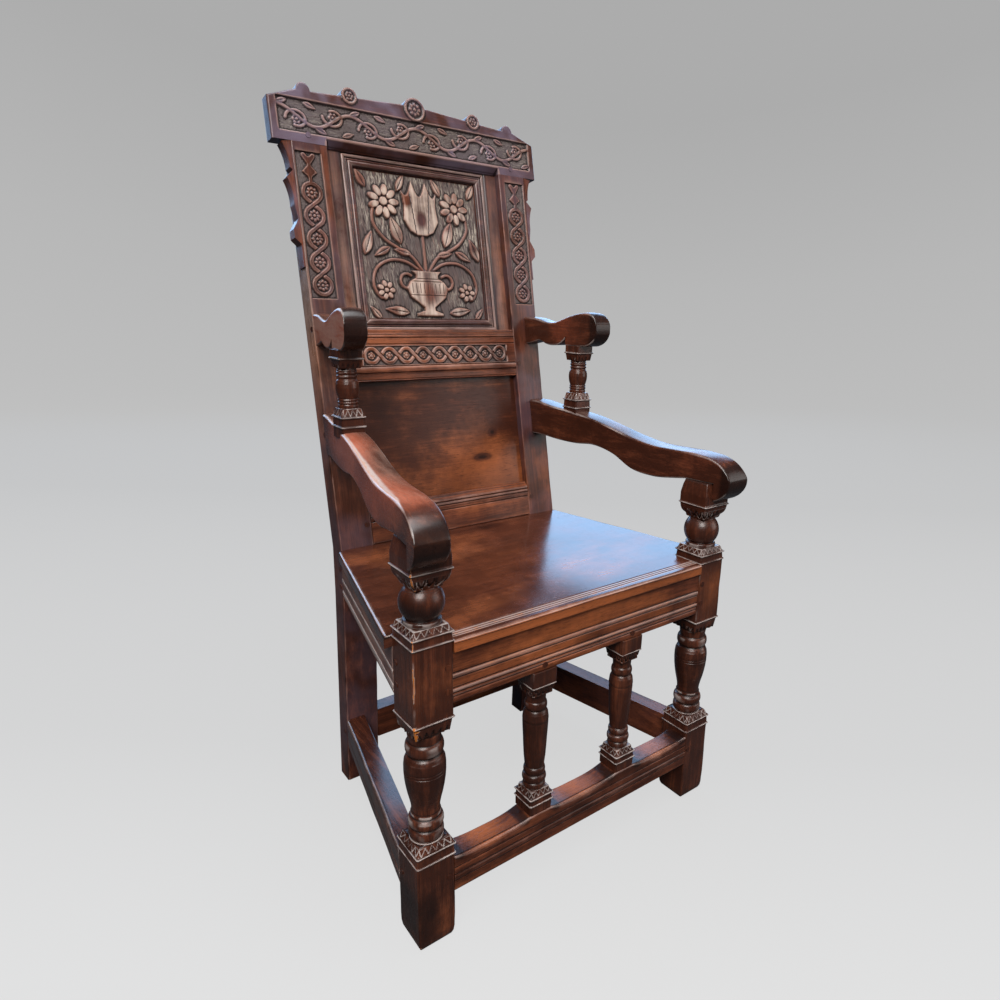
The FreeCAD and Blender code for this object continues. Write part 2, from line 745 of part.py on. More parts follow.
def make_crest():
    half = s.crest_width / 2
    rise = s.crest_height
    hump_x = s.roundel_spacing / 2
    spot = s.centre_roundel_radius
    points = scaled(crest_top_shares, half, 0, rise)
    hump_z = rise * crest_hump_share
    points.append((hump_x + s.roundel_radius, hump_z, roundel_bulge_share))
    points.append((hump_x - s.roundel_radius, hump_z, 0))
    points += scaled(crest_middle_shares, half, 0, rise)
    across, up, bulge = centre_roundel_shares
    points.append((spot * across, rise + spot * up, bulge))
    bulges = [0] + [point[2] for point in points[:-1]]
    other_half = [(-x, y, bulge) for (x, y, _), bulge in zip(reversed(points), reversed(bulges))]
    board = padded(
        "crest_board",
        "XY_Plane",
        [(-half, 0), (half, 0)] + points + other_half,
        s.crest_depth,
        (0, s.back_length, -s.crest_depth),
        True,
    )
    discs = []
    rounds = ((0, s.centre_roundel_radius), (hump_x, s.roundel_radius), (-hump_x, s.roundel_radius))
    for index, (x, radius) in enumerate(rounds):
        disc = doc.addObject("Part::Cylinder", "crest_roundel_%d" % index)
        bind(disc, "Radius", radius)
        bind(disc, "Height", s.crest_depth + s.roundel_proud)
        place(disc, (x, s.back_length + rise * crest_hump_share, -s.crest_depth), True)
        discs.append(disc)
    body = fused("crest_solid", board, *discs)
    chamfer = padded(
        "crest_chamfer",
        "YZ_Plane",
        [(0, -s.crest_chamfer), (s.crest_chamfer, 0), (0, s.crest_chamfer), (-s.crest_chamfer, 0)],
        stile_inner * 2,
        (-stile_inner, s.back_length, 0),
        True,
    )
    low = s.back_length + s.band_low
    band = (s.band_margin - half, half - s.band_margin)
    sunk_band = block("crest_band", band, (low, low + s.band_height), (-s.band_sink, 0), True)
    mortise = grown("crest_mortise", *stile_tenon_box, s.joint_play, True)
    groove = grown(
        "crest_panel_groove",
        (-panel_reach, panel_reach),
        (s.back_length, s.back_length + s.panel_tongue_reach),
        panel_tongue_out,
        s.joint_play,
        True,
    )
    tools = (chamfer, sunk_band, mortise, mirrored("crest_mortise_left", mortise), groove, peg_holes)
    keep("crest_rail", cut("crest_rail", body, *tools))


def make_wings():
    points = scaled(wing_shares, s.wing_reach, 0, s.wing_length)
    position = (half_back, s.back_length - s.wing_length, -s.wing_depth)
    keep_pair("stile_wing", padded("stile_wing", "XY_Plane", points, s.wing_depth, position, True))


# Rails between the uprights

def ruled_lines(name, reach, position, height, shares):
    # scratched lines along the front of a rail
    lines = []
    for index, share in enumerate(shares):
        level = share_of(height, share)
        lines.append(
            block(
                "%s_line_%d" % (name, index),
                (-reach, reach),
                (position - s.moulding_line, position + s.moulding_line),
                (level, level + s.moulding_line),
            )
        )
    return lines


def make_front_rail():
    reach = (-post_inner, post_inner)
    rail = block("front_rail_board", reach, front_rail_y, front_rail_z)
    body = fused("front_rail_solid", rail, block("front_rail_tenons", *straight_tenons["front_seat_rail"][0]))
    lines = ruled_lines("front_rail", post_inner, front_rail_y[0], front_rail_z, front_rail_line_shares)
    right = [dowel("front_rail_dowel_hole", spindle_x, spindle_y, front_rail_z[0], s.joint_play)]
    right.append(mirrored("front_rail_dowel_hole_left", right[0]))
    keep("front_seat_rail", cut("front_seat_rail", body, *lines, *right, peg_holes))


def make_rear_rails():
    reach = (-stile_inner, stile_inner)
    for rail, depth, height in (
        ("rear_seat_rail", rear_rail_y, rear_rail_z),
        ("rear_stretcher", rear_stretcher_y, stretcher_z),
    ):
        board = block(rail + "_board", reach, depth, height)
        body = fused(rail + "_solid", board, block(rail + "_tenons", *straight_tenons[rail][0]))
        keep(rail, cut(rail, body, peg_holes))


def make_side_rails(stile):
    for rail, breadth, far, height in (
        ("side_seat_rail", s.side_rail_breadth, stile_front, side_rail_z),
        ("side_stretcher", s.side_stretcher_breadth, stretcher_far + s.foot_splay / 2, stretcher_z),
    ):
        plan = [
            (half_front - breadth, post_back),
            (half_front, post_back),
            (half_back, far),
            (half_back - breadth, far),
        ]
        board = padded(rail + "_board", "XY_Plane", plan, height[1] - height[0], (0, 0, height[0]))
        scribed = cut(rail + "_scribed", board, stile)
        tenons = [
            block("%s_tenon_%d" % (rail, index), *box) for index, box in enumerate(side_tenon_boxes[rail])
        ]
        keep_pair(rail, cut(rail, fused(rail + "_solid", scribed, *tenons), peg_holes))


def make_back_rails():
    reach = (-stile_inner, stile_inner)
    for rail, along in (("mid_rail", mid_rail_along), ("lower_back_rail", lower_rail_along)):
        board = block(rail + "_board", reach, along, back_rail_out, True)
        body = fused(rail + "_solid", board, block(rail + "_tenons", *straight_tenons[rail][0], True))
        top_groove = (along[1] - s.panel_tongue_reach, along[1])
        tools = [grown(rail + "_top_groove", reach, top_groove, panel_tongue_out, s.joint_play, True)]
        if rail == "mid_rail":
            low_groove = (along[0], along[0] + s.panel_tongue_reach)
            tools.append(grown(rail + "_low_groove", reach, low_groove, panel_tongue_out, s.joint_play, True))
            centre = share_of(along, guilloche_share)
            half = s.guilloche_width / 2
            trench = (s.guilloche_margin - stile_inner, stile_inner - s.guilloche_margin)
            wide = (centre - half, centre + half)
            tools.append(block("guilloche_band", trench, wide, (-s.guilloche_sink, 0), True))
        keep(rail, cut(rail, body, *tools, peg_holes))


def make_front_stretcher():
    low, high = stretcher_z
    worn = high - s.stretcher_wear
    half_block = s.spindle_side / 2
    points = [
        (-post_inner, low),
        (post_inner, low),
        (post_inner, worn, -scoop_share),
        (spindle_x + half_block, high),
        (spindle_x - half_block, high, -scoop_share),
        (half_block - spindle_x, high),
        (-spindle_x - half_block, high, -scoop_share),
        (-post_inner, worn),
    ]
    board = padded("stretcher_board", "XZ_Plane", points, s.stretcher_depth, (0, stretcher_y[1], 0))
    body = fused("stretcher_solid", board, block("stretcher_tenons", *straight_tenons["front_stretcher"][0]))
    lines = ruled_lines("stretcher", post_inner, front, stretcher_z, groove_shares)
    right = dowel("stretcher_dowel_hole", spindle_x, spindle_y, high - s.dowel_length, s.joint_play)
    holes = (right, mirrored("stretcher_dowel_hole_left", right))
    keep("front_stretcher", cut("front_stretcher", body, *lines, *holes, peg_holes))


# Spindles between the front stretcher and the seat rail

def dowel(name, x, y, low, play=0):
    rod = doc.addObject("Part::Cylinder", name)
    bind(rod, "Radius", s.dowel_diameter / 2 + play)
    bind(rod, "Height", s.dowel_length + 2 * play)
    place(rod, (x, y, low - play))
    return rod


def make_spindles():
    high = front_rail_z[0]
    low = stretcher_z[1]
    half = s.spindle_side / 2
    drop = s.drop_block_side / 2
    turn_low = low + s.spindle_block_height
    turn_high = high - s.drop_block_height
    x, y = spindle_x, spindle_y
    turning = scaled(spindle_turning_shares, half, turn_low, turn_high - turn_low)
    points = [(0, turn_low), *turning, (0, turn_high)]
    pieces = [
        turned("spindle_turning", points, x, y),
        block("spindle_plinth", (x - half, x + half), (y - half, y + half), (low, turn_low)),
        block("spindle_drop_block", (x - drop, x + drop), (y - drop, y + drop), (turn_high, high)),
        dowel("spindle_low_dowel", x, y, low - s.dowel_length),
        dowel("spindle_top_dowel", x, y, high),
    ]
    keep_pair("front_spindle", cut("front_spindle", fused("spindle_solid", *pieces), peg_holes))


# Panels in their grooves, and the mitred moulding round the upper field

def panel(name, along, field=None):
    reach = (s.joint_play - panel_reach, panel_reach - s.joint_play)
    tongue_along = (along[0] - s.panel_tongue_reach, along[1] + s.panel_tongue_reach)
    tongue = block(name + "_tongue", reach, tongue_along, panel_tongue_out, True)
    inner = (s.joint_play - stile_inner, stile_inner - s.joint_play)
    back = block(
        name + "_back",
        inner,
        (along[0] + s.joint_play, along[1] - s.joint_play),
        (-s.panel_sink - s.panel_body, -s.panel_sink - s.panel_tongue / 2),
        True,
    )
    body = fused(name + "_solid", tongue, back)
    if field:
        body = cut(name + "_sunk", body, block(name + "_field", *field, True))
    keep(name, body)


def make_panels():
    upper_along = (mid_rail_top, s.back_length)
    half = s.field_width / 2
    sunk_out = (-s.panel_sink - s.field_sink, -s.panel_sink + s.field_sink)
    panel("upper_panel", upper_along, ((-half, half), upper_along, sunk_out))
    panel("lower_panel", (lower_rail_top, s.mid_rail_low))
    outer_x = half - s.joint_play
    outer_low = mid_rail_top + s.joint_play
    outer_high = s.back_length - s.joint_play
    wide = s.frame_width
    inner_x = outer_x - wide
    inner_low = outer_low + wide
    inner_high = outer_high - wide
    strips = {
        "bottom": [(-outer_x, outer_low), (outer_x, outer_low), (inner_x, inner_low), (-inner_x, inner_low)],
        "top": [(outer_x, outer_high), (-outer_x, outer_high), (-inner_x, inner_high), (inner_x, inner_high)],
        "right": [(outer_x, outer_low), (outer_x, outer_high), (inner_x, inner_high), (inner_x, inner_low)],
        "left": [(-outer_x, outer_high), (-outer_x, outer_low), (-inner_x, inner_low), (-inner_x, inner_high)],
    }
    for place_name, points in strips.items():
        name = "panel_frame_" + place_name
        keep(name, padded(name, "XY_Plane", points, s.frame_height, (0, 0, sunk_out[0]), True))


# Seat board, notched round the posts and the stiles

def make_seat():
    play = s.joint_play
    right = [
        (post_inner - play, front - s.seat_front_overhang),
        (post_inner - play, post_back + play),
        (half_front + s.seat_side_overhang, post_back + play),
        (half_back + s.seat_back_overhang, stile_front - play),
        (stile_inner - play, stile_front - play),
        (stile_inner - play, stile_front + s.seat_tongue),
    ]
    left = [(-x, y) for x, y in reversed(right)]
    seat = padded("seat_board", "XY_Plane", right + left, s.seat_thickness, (0, 0, seat_under))
    doc.recompute()
    pad = seat.Tip
    rounded = []
    for index, edge in enumerate(pad.Shape.Edges, 1):
        box = edge.BoundBox
        at_top = box.ZMin > number(s.seat_thickness) / 2
        in_front = box.YMax < number(front)
        at_side = box.XMin > number(half_back) or box.XMax < -number(half_back)
        long_enough = edge.Length > number(s.post_side) * 2
        if at_top and long_enough and (in_front or at_side):
            rounded.append("Edge%d" % index)
    nosing = seat.newObject("PartDesign::Fillet", "seat_nosing")
    nosing.Base = (pad, rounded)
    bind(nosing, "Radius", s.seat_round)
    keep("seat_board", seat)


# Arms: a side profile drawn with curves, cut to a tapered plan

def spot(y, z):
    return FreeCAD.Vector(0, number(y), number(z))


def spots(shares, start, end, low, rise):
    return [spot(start + (end - start) * share, low + rise * height) for share, height in shares]


def curve(points):
    line = Part.BSplineCurve()
    line.interpolate(points)
    return line.toShape()


def straight(points):
    return [Part.makeLine(start, end) for start, end in zip(points, points[1:])]


def profile_solid(name, edges):
    # a closed side profile, as wide as the chair
    wide = number(s.front_width) * 2
    face = Part.Face(Part.Wire(edges))
    feature = doc.addObject("Part::Feature", name)
    feature.Shape = face.extrude(FreeCAD.Vector(wide, 0, 0))
    feature.Placement = FreeCAD.Placement(FreeCAD.Vector(-wide / 2, 0, 0), FreeCAD.Rotation())
    return feature


def lower_arm_profile():
    tip = front - s.arm_nose
    reach = s.arm_nose + s.seat_depth
    low_z, high_z = (arm_seat + s.arm_rise * share for share in lower_arm_back_shares)
    back_low = spot(face_at(low_z), low_z)
    back_high = spot(face_at(high_z), high_z)
    top = spots(lower_arm_top_shares, tip, tip + reach, arm_seat, s.arm_rise) + [back_high]
    nose = spots(lower_arm_nose_shares, tip, tip + reach, arm_seat, s.arm_rise)
    nose.append(spot(front, arm_seat + s.arm_rise * lower_arm_nose_low_share))
    seat_front = spot(front, arm_seat)
    seat_back = spot(post_back, arm_seat)
    under = spots(lower_arm_under_shares, post_back, face_at(low_z), arm_seat, s.arm_rise)
    edges = [curve(top), curve(nose), *straight([nose[-1], seat_front, seat_back])]
    edges.append(curve([seat_back, *under, back_low]))
    return profile_solid("lower_arm_profile", edges + straight([back_low, back_high]))


def upper_arm_profile():
    rise = s.upper_arm_height
    low_z, high_z = (upper_arm_seat + rise * share for share in upper_arm_back_shares)
    tip = face_at(upper_arm_seat) - s.upper_arm_reach
    back_low = spot(face_at(low_z), low_z)
    back_high = spot(face_at(high_z), high_z)
    cap = (baluster_y - s.baluster_cap_side / 2, baluster_y + s.baluster_cap_side / 2)
    top = spots(upper_arm_top_shares, tip, face_at(upper_arm_seat), upper_arm_seat, rise) + [back_high]
    roll = spots(upper_arm_roll_shares, tip, cap[0], upper_arm_seat, rise)
    roll.append(spot(cap[0], upper_arm_seat))
    under = spots(upper_arm_under_shares, cap[1], face_at(low_z), upper_arm_seat, rise) + [back_low]
    edges = [curve(top), curve(roll), *straight([roll[-1], spot(cap[1], upper_arm_seat), under[0]])]
    edges.append(curve(under))
    return profile_solid("upper_arm_profile", edges + straight([back_low, back_high]))


def plan_solid(name, near, far, low, high):
    # A tapered plan: near and far are each a distance back, an inner x and an outer x
    slope_in = (far[1] - near[1]) / (far[0] - near[0])
    slope_out = (far[2] - near[2]) / (far[0] - near[0])
    start = near[0] - s.front_width / 2
    end = far[0] + s.front_width / 2
    points = [
        (near[1] + slope_in * (start - near[0]), start),
        (near[2] + slope_out * (start - near[0]), start),
        (near[2] + slope_out * (end - near[0]), end),
        (near[1] + slope_in * (end - near[0]), end),
    ]
    return padded(name, "XY_Plane", points, high - low, (0, 0, low))


def make_arms():
    lower = lower_arm_profile()
    upper = upper_arm_profile()
    lower_plan = plan_solid("lower_arm_plan", lower_near, lower_far, leg_turning_top, upper_arm_seat)
    upper_plan = plan_solid("upper_arm_plan", upper_near, upper_far, arm_seat, arm_seat + s.front_width)
    lower_mortise = grown("lower_arm_post_mortise", *post_tenon_box, s.joint_play)
    lower_hole = dowel("lower_arm_dowel_hole", baluster_x, baluster_y, baluster_base, s.joint_play)
    upper_hole = dowel("upper_arm_dowel_hole", baluster_x, baluster_y, upper_arm_seat, s.joint_play)
    for arm, profile, plan, tools in (
        ("lower_arm", lower, lower_plan, (lower_mortise, lower_hole)),
        ("upper_arm", upper, upper_plan, (upper_hole,)),
    ):
        shaped = common(arm + "_shaped", profile, plan)
        body = fused(arm + "_solid", shaped, block(arm + "_tenon", *arm_tenon_boxes[arm]))
        keep_pair(arm, cut(arm, body, *tools, peg_holes))
    return lower


def make_balusters(lower):
    half = s.baluster_side / 2
    cap = s.baluster_cap_side / 2
    plinth_top = arm_seat + s.baluster_plinth_top
    cap_low = upper_arm_seat - s.baluster_cap_height
    x, y = baluster_x, baluster_y
    turning = scaled(baluster_turning_shares, half, plinth_top, cap_low - plinth_top)
    points = [(0, plinth_top), *turning, (0, cap_low)]
    plinth_z = (plinth_top - s.baluster_plinth_height, plinth_top)
    bead_heights = (
        plinth_top - s.baluster_bead_drop - s.baluster_bead_spacing,
        plinth_top - s.baluster_bead_drop,
        upper_arm_seat - s.baluster_cap_bead_drop,
    )
    plinth = block("baluster_plinth", (x - half, x + half), (y - half, y + half), plinth_z)
    pieces = [
        cut("baluster_scribed", plinth, lower),
        turned("baluster_turning", points, x, y),
        block("baluster_cap", (x - cap, x + cap), (y - cap, y + cap), (cap_low, upper_arm_seat)),
        *(
            square_bead("baluster_bead_%d" % index, height, x, y, s.baluster_side)
            for index, height in enumerate(bead_heights)
        ),
        dowel("baluster_low_dowel", x, y, baluster_base),
        dowel("baluster_top_dowel", x, y, upper_arm_seat),
    ]
    keep_pair("arm_baluster", fused("arm_baluster", *pieces))


make_front_posts()
plain_stile = make_rear_stiles()
make_crest()
make_wings()
make_front_rail()
make_rear_rails()
make_side_rails(plain_stile)
make_back_rails()
make_front_stretcher()
make_spindles()
make_panels()
make_seat()
make_balusters(make_arms())
doc.recompute()

for thing in doc.Objects:
    if "Invalid" in thing.State or "Error" in thing.State:
        raise RuntimeError("%s was not made: %s" % (thing.Name, thing.State))
for label, thing in parts.items():
    shape = thing.Shape
    if shape.isNull() or not shape.isValid():
        raise RuntimeError("%s is not a sound shape" % label)
    print(label, len(shape.Solids), "solids", round(shape.Volume), "mm3", shape.BoundBox)

os.makedirs("parts", exist_ok=True)
for label, thing in parts.items():
    thing.Shape.exportStep("parts/%s.step" % label)
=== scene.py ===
import math
import bpy
import numpy as np
from mathutils import Matrix


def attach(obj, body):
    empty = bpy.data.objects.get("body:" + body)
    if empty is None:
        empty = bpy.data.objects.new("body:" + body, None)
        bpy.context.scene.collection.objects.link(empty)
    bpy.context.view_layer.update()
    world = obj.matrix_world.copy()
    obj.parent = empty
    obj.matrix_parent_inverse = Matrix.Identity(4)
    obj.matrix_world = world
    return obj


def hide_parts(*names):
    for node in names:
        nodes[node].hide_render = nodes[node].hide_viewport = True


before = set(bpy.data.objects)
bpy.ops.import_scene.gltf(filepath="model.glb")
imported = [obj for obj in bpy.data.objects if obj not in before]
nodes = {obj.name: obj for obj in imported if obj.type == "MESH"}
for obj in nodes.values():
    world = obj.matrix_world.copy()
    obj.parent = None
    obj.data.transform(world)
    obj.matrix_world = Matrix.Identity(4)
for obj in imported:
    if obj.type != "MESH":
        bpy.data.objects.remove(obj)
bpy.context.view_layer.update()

scene = bpy.context.scene

# Camera
view = dict(place=(-0.66026, -0.98789, 0.89026), yaw=38.75, pitch=14.76, roll=1.73, lens=25.27, sensor=36,
            shiftX=-0.0543, shiftY=-0.0104)


def addCamera(view):
    # turned by yaw to the right, pitched down, then rolled about the line of sight; angles in degrees
    yaw, pitch, roll = (math.radians(view[key]) for key in ("yaw", "pitch", "roll"))
    right = np.array([math.cos(yaw), -math.sin(yaw), 0])
    ahead = np.array([math.sin(yaw) * math.cos(pitch), math.cos(yaw) * math.cos(pitch), -math.sin(pitch)])
    up = np.cross(right, ahead)
    right, up = right * math.cos(roll) + up * math.sin(roll), up * math.cos(roll) - right * math.sin(roll)
    data = bpy.data.cameras.new("photoCamera")
    data.sensor_width, data.lens = view["sensor"], view["lens"]
    data.shift_x, data.shift_y = view["shiftX"], view["shiftY"]
    camera = bpy.data.objects.new("photoCamera", data)
    rows = [[right[k], up[k], -ahead[k], view["place"][k]] for k in range(3)]
    camera.matrix_world = Matrix(rows + [[0, 0, 0, 1]])
    scene.collection.objects.link(camera)
    scene.camera = camera


addCamera(view)
print("camera placed")


# Shader maths: a socket that can be added to, multiplied and so on
class Wire:
    def __init__(self, graph, socket):
        self.graph = graph
        self.socket = socket

    def maths(self, operation, *values):
        return self.graph.node("ShaderNodeMath", dict(operation=operation), values)

    def __add__(self, other): return self.maths("ADD", self, other)
    def __sub__(self, other): return self.maths("SUBTRACT", self, other)
    def __mul__(self, other): return self.maths("MULTIPLY", self, other)
    def __truediv__(self, other): return self.maths("DIVIDE", self, other)
    def __rsub__(self, other): return self.maths("SUBTRACT", other, self)
    __radd__ = __add__
    __rmul__ = __mul__


class Graph:
    # a material's or the world's nodes
    def __init__(self, owner):
        owner.use_nodes = True
        self.tree = owner.node_tree
        self.tree.nodes.clear()

    def node(self, kind, settings=None, values=(), output=0):
        made = self.tree.nodes.new(kind)
        settings = dict(settings or {})
        stops = settings.pop("stops", None)
        for key, value in settings.items():
            setattr(made, key, value)
        if stops:
            ramp = made.color_ramp
            while len(ramp.elements) < len(stops):
                ramp.elements.new(0.5)
            for element, (place, colour) in zip(ramp.elements, stops):
                element.position = place
                element.color = (*colour, 1)
        pairs = values.items() if isinstance(values, dict) else enumerate(values)
        for key, value in pairs:
            socket = made.inputs[key]
            if isinstance(value, Wire):
                self.tree.links.new(value.socket, socket)
            elif value is not None:
                socket.default_value = value
        return Wire(self, made.outputs[output]) if made.outputs else made

    def between(self, value, low, high):
        # 0 below low, 1 above high, eased between
        return self.node("ShaderNodeMapRange", dict(interpolation_type="SMOOTHSTEP"), (value, low, high, 0.0, 1.0))

    def blend(self, share, first, second):
        # colours mixed by a share from 0 to 1; inputs 6 and 7 of the node are its colours
        first, second = ((*colour, 1) if isinstance(colour, (tuple, list)) else colour for colour in (first, second))
        return self.node("ShaderNodeMix", dict(data_type="RGBA"), {0: share, 6: first, 7: second}, 2)

    def noise(self, place, size, detail=3.0, rough=0.55, bend=0.0):
        values = {"Vector": place, "Scale": 1.0 / size, "Detail": detail, "Roughness": rough, "Distortion": bend}
        return self.node("ShaderNodeTexNoise", None, values)

    def coordinates(self):
        # a place on the object, in metres: output 3 of the node is Object
        return self.node("ShaderNodeTexCoord", None, (), 3)

    def stretched(self, place, turn, sizes):
        # Object coordinates turned by an angle about X, then divided by a size along each axis
        turned = self.node("ShaderNodeMapping", dict(vector_type="TEXTURE"),
                           {"Vector": place, "Rotation": (turn, 0, 0)})
        return self.node("ShaderNodeMapping", None, {"Vector": turned, "Scale": tuple(1.0 / s for s in sizes)})


# The oak's colours, its gloss, and the size of its features across and along the grain, in metres
oak = dict(
    deep=(0.0080, 0.0032, 0.0026),
    dark=(0.042, 0.0120, 0.0065),
    mid=(0.150, 0.0420, 0.0200),
    warm=(0.300, 0.0900, 0.0330),
    amber=(0.370, 0.1050, 0.0320),
    russet=(0.390, 0.0880, 0.0400),
    bare=(0.440, 0.1350, 0.0220),
    ridge=(0.310, 0.1550, 0.1150),
    # pale grey of rubbed ridges, also laid on as a painted highlight on ring tops and mouldings
    rubbedAndGlint=(0.470, 0.4200, 0.4000),
    ground=(0.072, 0.0560, 0.0540),
    strokes=(0.380, 0.3300, 0.2700),
    pale=(0.500, 0.3950, 0.3300),
    # a painted sheen: bluish colour laid on in patches, standing in for a reflection of the sky
    bluishSheen=(0.145, 0.1150, 0.1620),
    roughness=0.36, coat=0.30, bumpHeight=0.0010,
    figure=(0.014, 0.22), fibre=(0.0016, 0.06), pores=(0.0008, 0.014), patch=(0.10, 0.26), marks=(0.0028, 0.022),
)


def oakFinish(name, grain="z", turn=0.0, tone=0.5, warmth=0.3, bluishSheen=0.0, gloss=0.0, rubbedAndGlint=0.0, chips=0.8, blur=0.2,
              bumps=0.25, strokes=0.15, streaks=1.0, amber="amber", seed=0.0):
    # noises drawn out along the grain are summed for a dark to warm colour; over it come the amber and dark places,
    # some of them painted light and painted shade, pores, a painted bluish sheen, gouge strokes or dust on the ground,
    # dark hollows, pale ridges, worn and partly painted highlight, and bare chips
    material = bpy.data.materials.new(name)
    graph = Graph(material)
    place = graph.coordinates()
    place = graph.node("ShaderNodeVectorMath", dict(operation="ADD"), (place, (seed, seed * 0.7, seed * 1.3)))

    def drawnOut(key, *choices):
        across, along = oak[key]
        return graph.noise(graph.stretched(place, turn, [along if axis == grain else across for axis in "xyz"]),
                           1.0, *choices)

    def attribute(key):
        return graph.node("ShaderNodeAttribute", dict(attribute_name=key), (), 2)

    figure = drawnOut("figure", 4.0, 0.6, 1.1)
    fibre = drawnOut("fibre", 3.0, 0.6)
    pores = drawnOut("pores", 2.0, 0.5)
    patch = drawnOut("patch", 2.0, 0.5, 0.5)
    marks = drawnOut("marks", 3.0, 0.6, 1.4)
    smudge = graph.noise(place, 0.05, 4.0, 0.65)
    tint, worn, ground = attribute("tint"), attribute("wear"), attribute("ground")
    figure = (figure - 0.5) * streaks + 0.5
    # the wood itself, from dark to mid, and warm in wide patches
    shade = figure * 0.46 + fibre * 0.26 + smudge * 0.28
    shade = graph.between(shade, 0.67 - tone * 0.42, 0.95 - tone * 0.42)
    colour = graph.blend(shade, oak["dark"], oak["mid"])
    warmer = graph.between(patch * 0.55 + figure * 0.25 + smudge * 0.2, 0.66 - warmth * 0.36, 0.94 - warmth * 0.36)
    colour = graph.blend(warmer * 0.85, colour, oak["warm"])
    # amber where the piece is tinted up, dark where it is tinted down, then the pores and the painted bluish sheen
    tint = tint + (patch - 0.5) * 0.8 + (smudge - 0.5) * 0.7
    colour = graph.blend(graph.between(tint, 0.1, 1.2) * (0.35 + fibre * 0.55 + figure * 0.3), colour, oak[amber])
    colour = graph.blend(graph.between(0 - tint, 0.2, 1.2) * 0.85, colour, oak["deep"])
    poreMask = graph.between(pores, 0.55, 0.7)
    colour = graph.blend(poreMask * 0.6, colour, oak["deep"])
    if bluishSheen:
        sheenPatch = graph.between(graph.noise(place, 0.11, 3.0, 0.6, 0.4), 0.36, 0.66)
        colour = graph.blend(sheenPatch * bluishSheen, colour, oak["bluishSheen"])
    # the carving's ground, dark with lit strokes; below 0 the same attribute gives a pale surface, on some pieces
    # painted sheen and painted light
    lit = graph.between(graph.noise(place, 0.07, 2.0, 0.5, 0.3), 0.36, 0.60) * graph.between(marks, 0.46, 0.62)
    colour = graph.blend(ground * (0.65 + marks * 0.35), colour,
                         graph.blend(lit * strokes, oak["ground"], oak["strokes"]))
    paleSheenShare = graph.between(smudge * 0.4 + figure * 0.6, 0.30, 0.60)
    colour = graph.blend((0 - ground) * paleSheenShare * 0.9, colour, oak["pale"])
    # dark hollows, pale ridges, worn and partly painted highlight, and bare wood where the edge has chipped
    hollow = graph.between(0 - worn, 0.06, 0.7)
    colour = graph.blend(hollow * 0.88, colour, oak["deep"])
    ridge = graph.between(worn + (smudge - 0.5) * 0.9 * graph.between(worn, 0.0, 0.2), 0.16, 1.0)
    edge = [oak["ridge"][k] * (1 - rubbedAndGlint) + oak["rubbedAndGlint"][k] * rubbedAndGlint for k in range(3)]
    colour = graph.blend(ridge * (0.42 + rubbedAndGlint * 0.35), colour, edge)
    chip = graph.between(worn * 0.62 + graph.noise(place, 0.012, 3.0, 0.6) * 0.75, 1.0, 1.1)
    colour = graph.blend(chip * chips, colour, oak["bare"])
    rough = oak["roughness"] - gloss * 0.12 + (smudge - 0.5) * 0.16 + poreMask * 0.08 + ground * 0.2 + hollow * 0.2
    relief = fibre * 0.35 - poreMask * 0.5 + smudge * (0.5 - gloss * 0.4)
    bump = graph.node("ShaderNodeBump", None, {"Strength": bumps, "Distance": oak["bumpHeight"], "Height": relief})
    shader = graph.node("ShaderNodeBsdfPrincipled", None, {
        "Base Color": colour, "Roughness": rough, "Normal": bump,
        "Coat Weight": oak["coat"] * (0.4 + gloss), "Coat Roughness": blur, "Specular IOR Level": 0.2,
    })
    graph.node("ShaderNodeOutputMaterial", None, (shader,))
    return material


# The leaning back: its angle, and where its face meets the seat's top
rake = math.radians(10.8)
back = dict(face=126.43, seat=470.0)
# Each finish: the grain's way and turn, how light and warm the wood is, the painted bluish sheen, gloss and wear on it
finishes = {key: oakFinish(key + "Oak", **choices) for key, choices in dict(
    turned=dict(tone=0.52, warmth=0.34, gloss=1.0, rubbedAndGlint=0.9, chips=1.0, blur=0.36, bumps=0.16, seed=1.7),
    level=dict(grain="x", tone=0.66, warmth=0.58, gloss=0.4, rubbedAndGlint=0.4, chips=0.5, seed=3.1),
    side=dict(grain="y", tone=0.85, warmth=0.55, bluishSheen=0.10, gloss=0.1, rubbedAndGlint=1.0, chips=0.1, blur=0.4, bumps=0.08,
              seed=4.7),
    low=dict(grain="y", tone=0.55, warmth=0.30, gloss=1.6, rubbedAndGlint=0.9, chips=0.1, blur=0.22, bumps=0.06, seed=4.9),
    stile=dict(turn=-rake, tone=0.57, warmth=0.36, bluishSheen=0.22, gloss=0.3, rubbedAndGlint=0.1, chips=0.15, seed=5.9),
    crest=dict(grain="x", tone=0.42, warmth=0.10, bluishSheen=0.70, gloss=0.2, rubbedAndGlint=0.2, chips=0.0, strokes=0.3, seed=7.3),
    carved=dict(turn=-rake, tone=0.60, warmth=0.42, bluishSheen=0.12, gloss=0.3, chips=0.1, strokes=1.0, seed=8.9),
    panel=dict(grain="x", tone=0.44, warmth=0.48, gloss=0.3, rubbedAndGlint=0.1, streaks=0.7, seed=10.1),
    strip=dict(grain="x", tone=0.48, warmth=0.26, bluishSheen=0.15, gloss=1.0, rubbedAndGlint=0.4, chips=0.1, seed=10.9),
    seat=dict(grain="x", tone=0.57, warmth=0.47, gloss=1.3, rubbedAndGlint=0.6, chips=0.6, bumps=0.05, streaks=0.35, seed=11.3),
    arm=dict(grain="y", tone=0.50, warmth=0.36, gloss=0.8, rubbedAndGlint=0.9, chips=0.3, blur=0.32, bumps=0.08,
             amber="russet", seed=12.7),
    wing=dict(turn=-rake, tone=0.66, warmth=0.30, bluishSheen=0.5, gloss=0.3, rubbedAndGlint=0.4, chips=0.0, seed=13.1),
    peg=dict(tone=0.48, warmth=0.24, gloss=0.2, seed=14.3),
).items()}

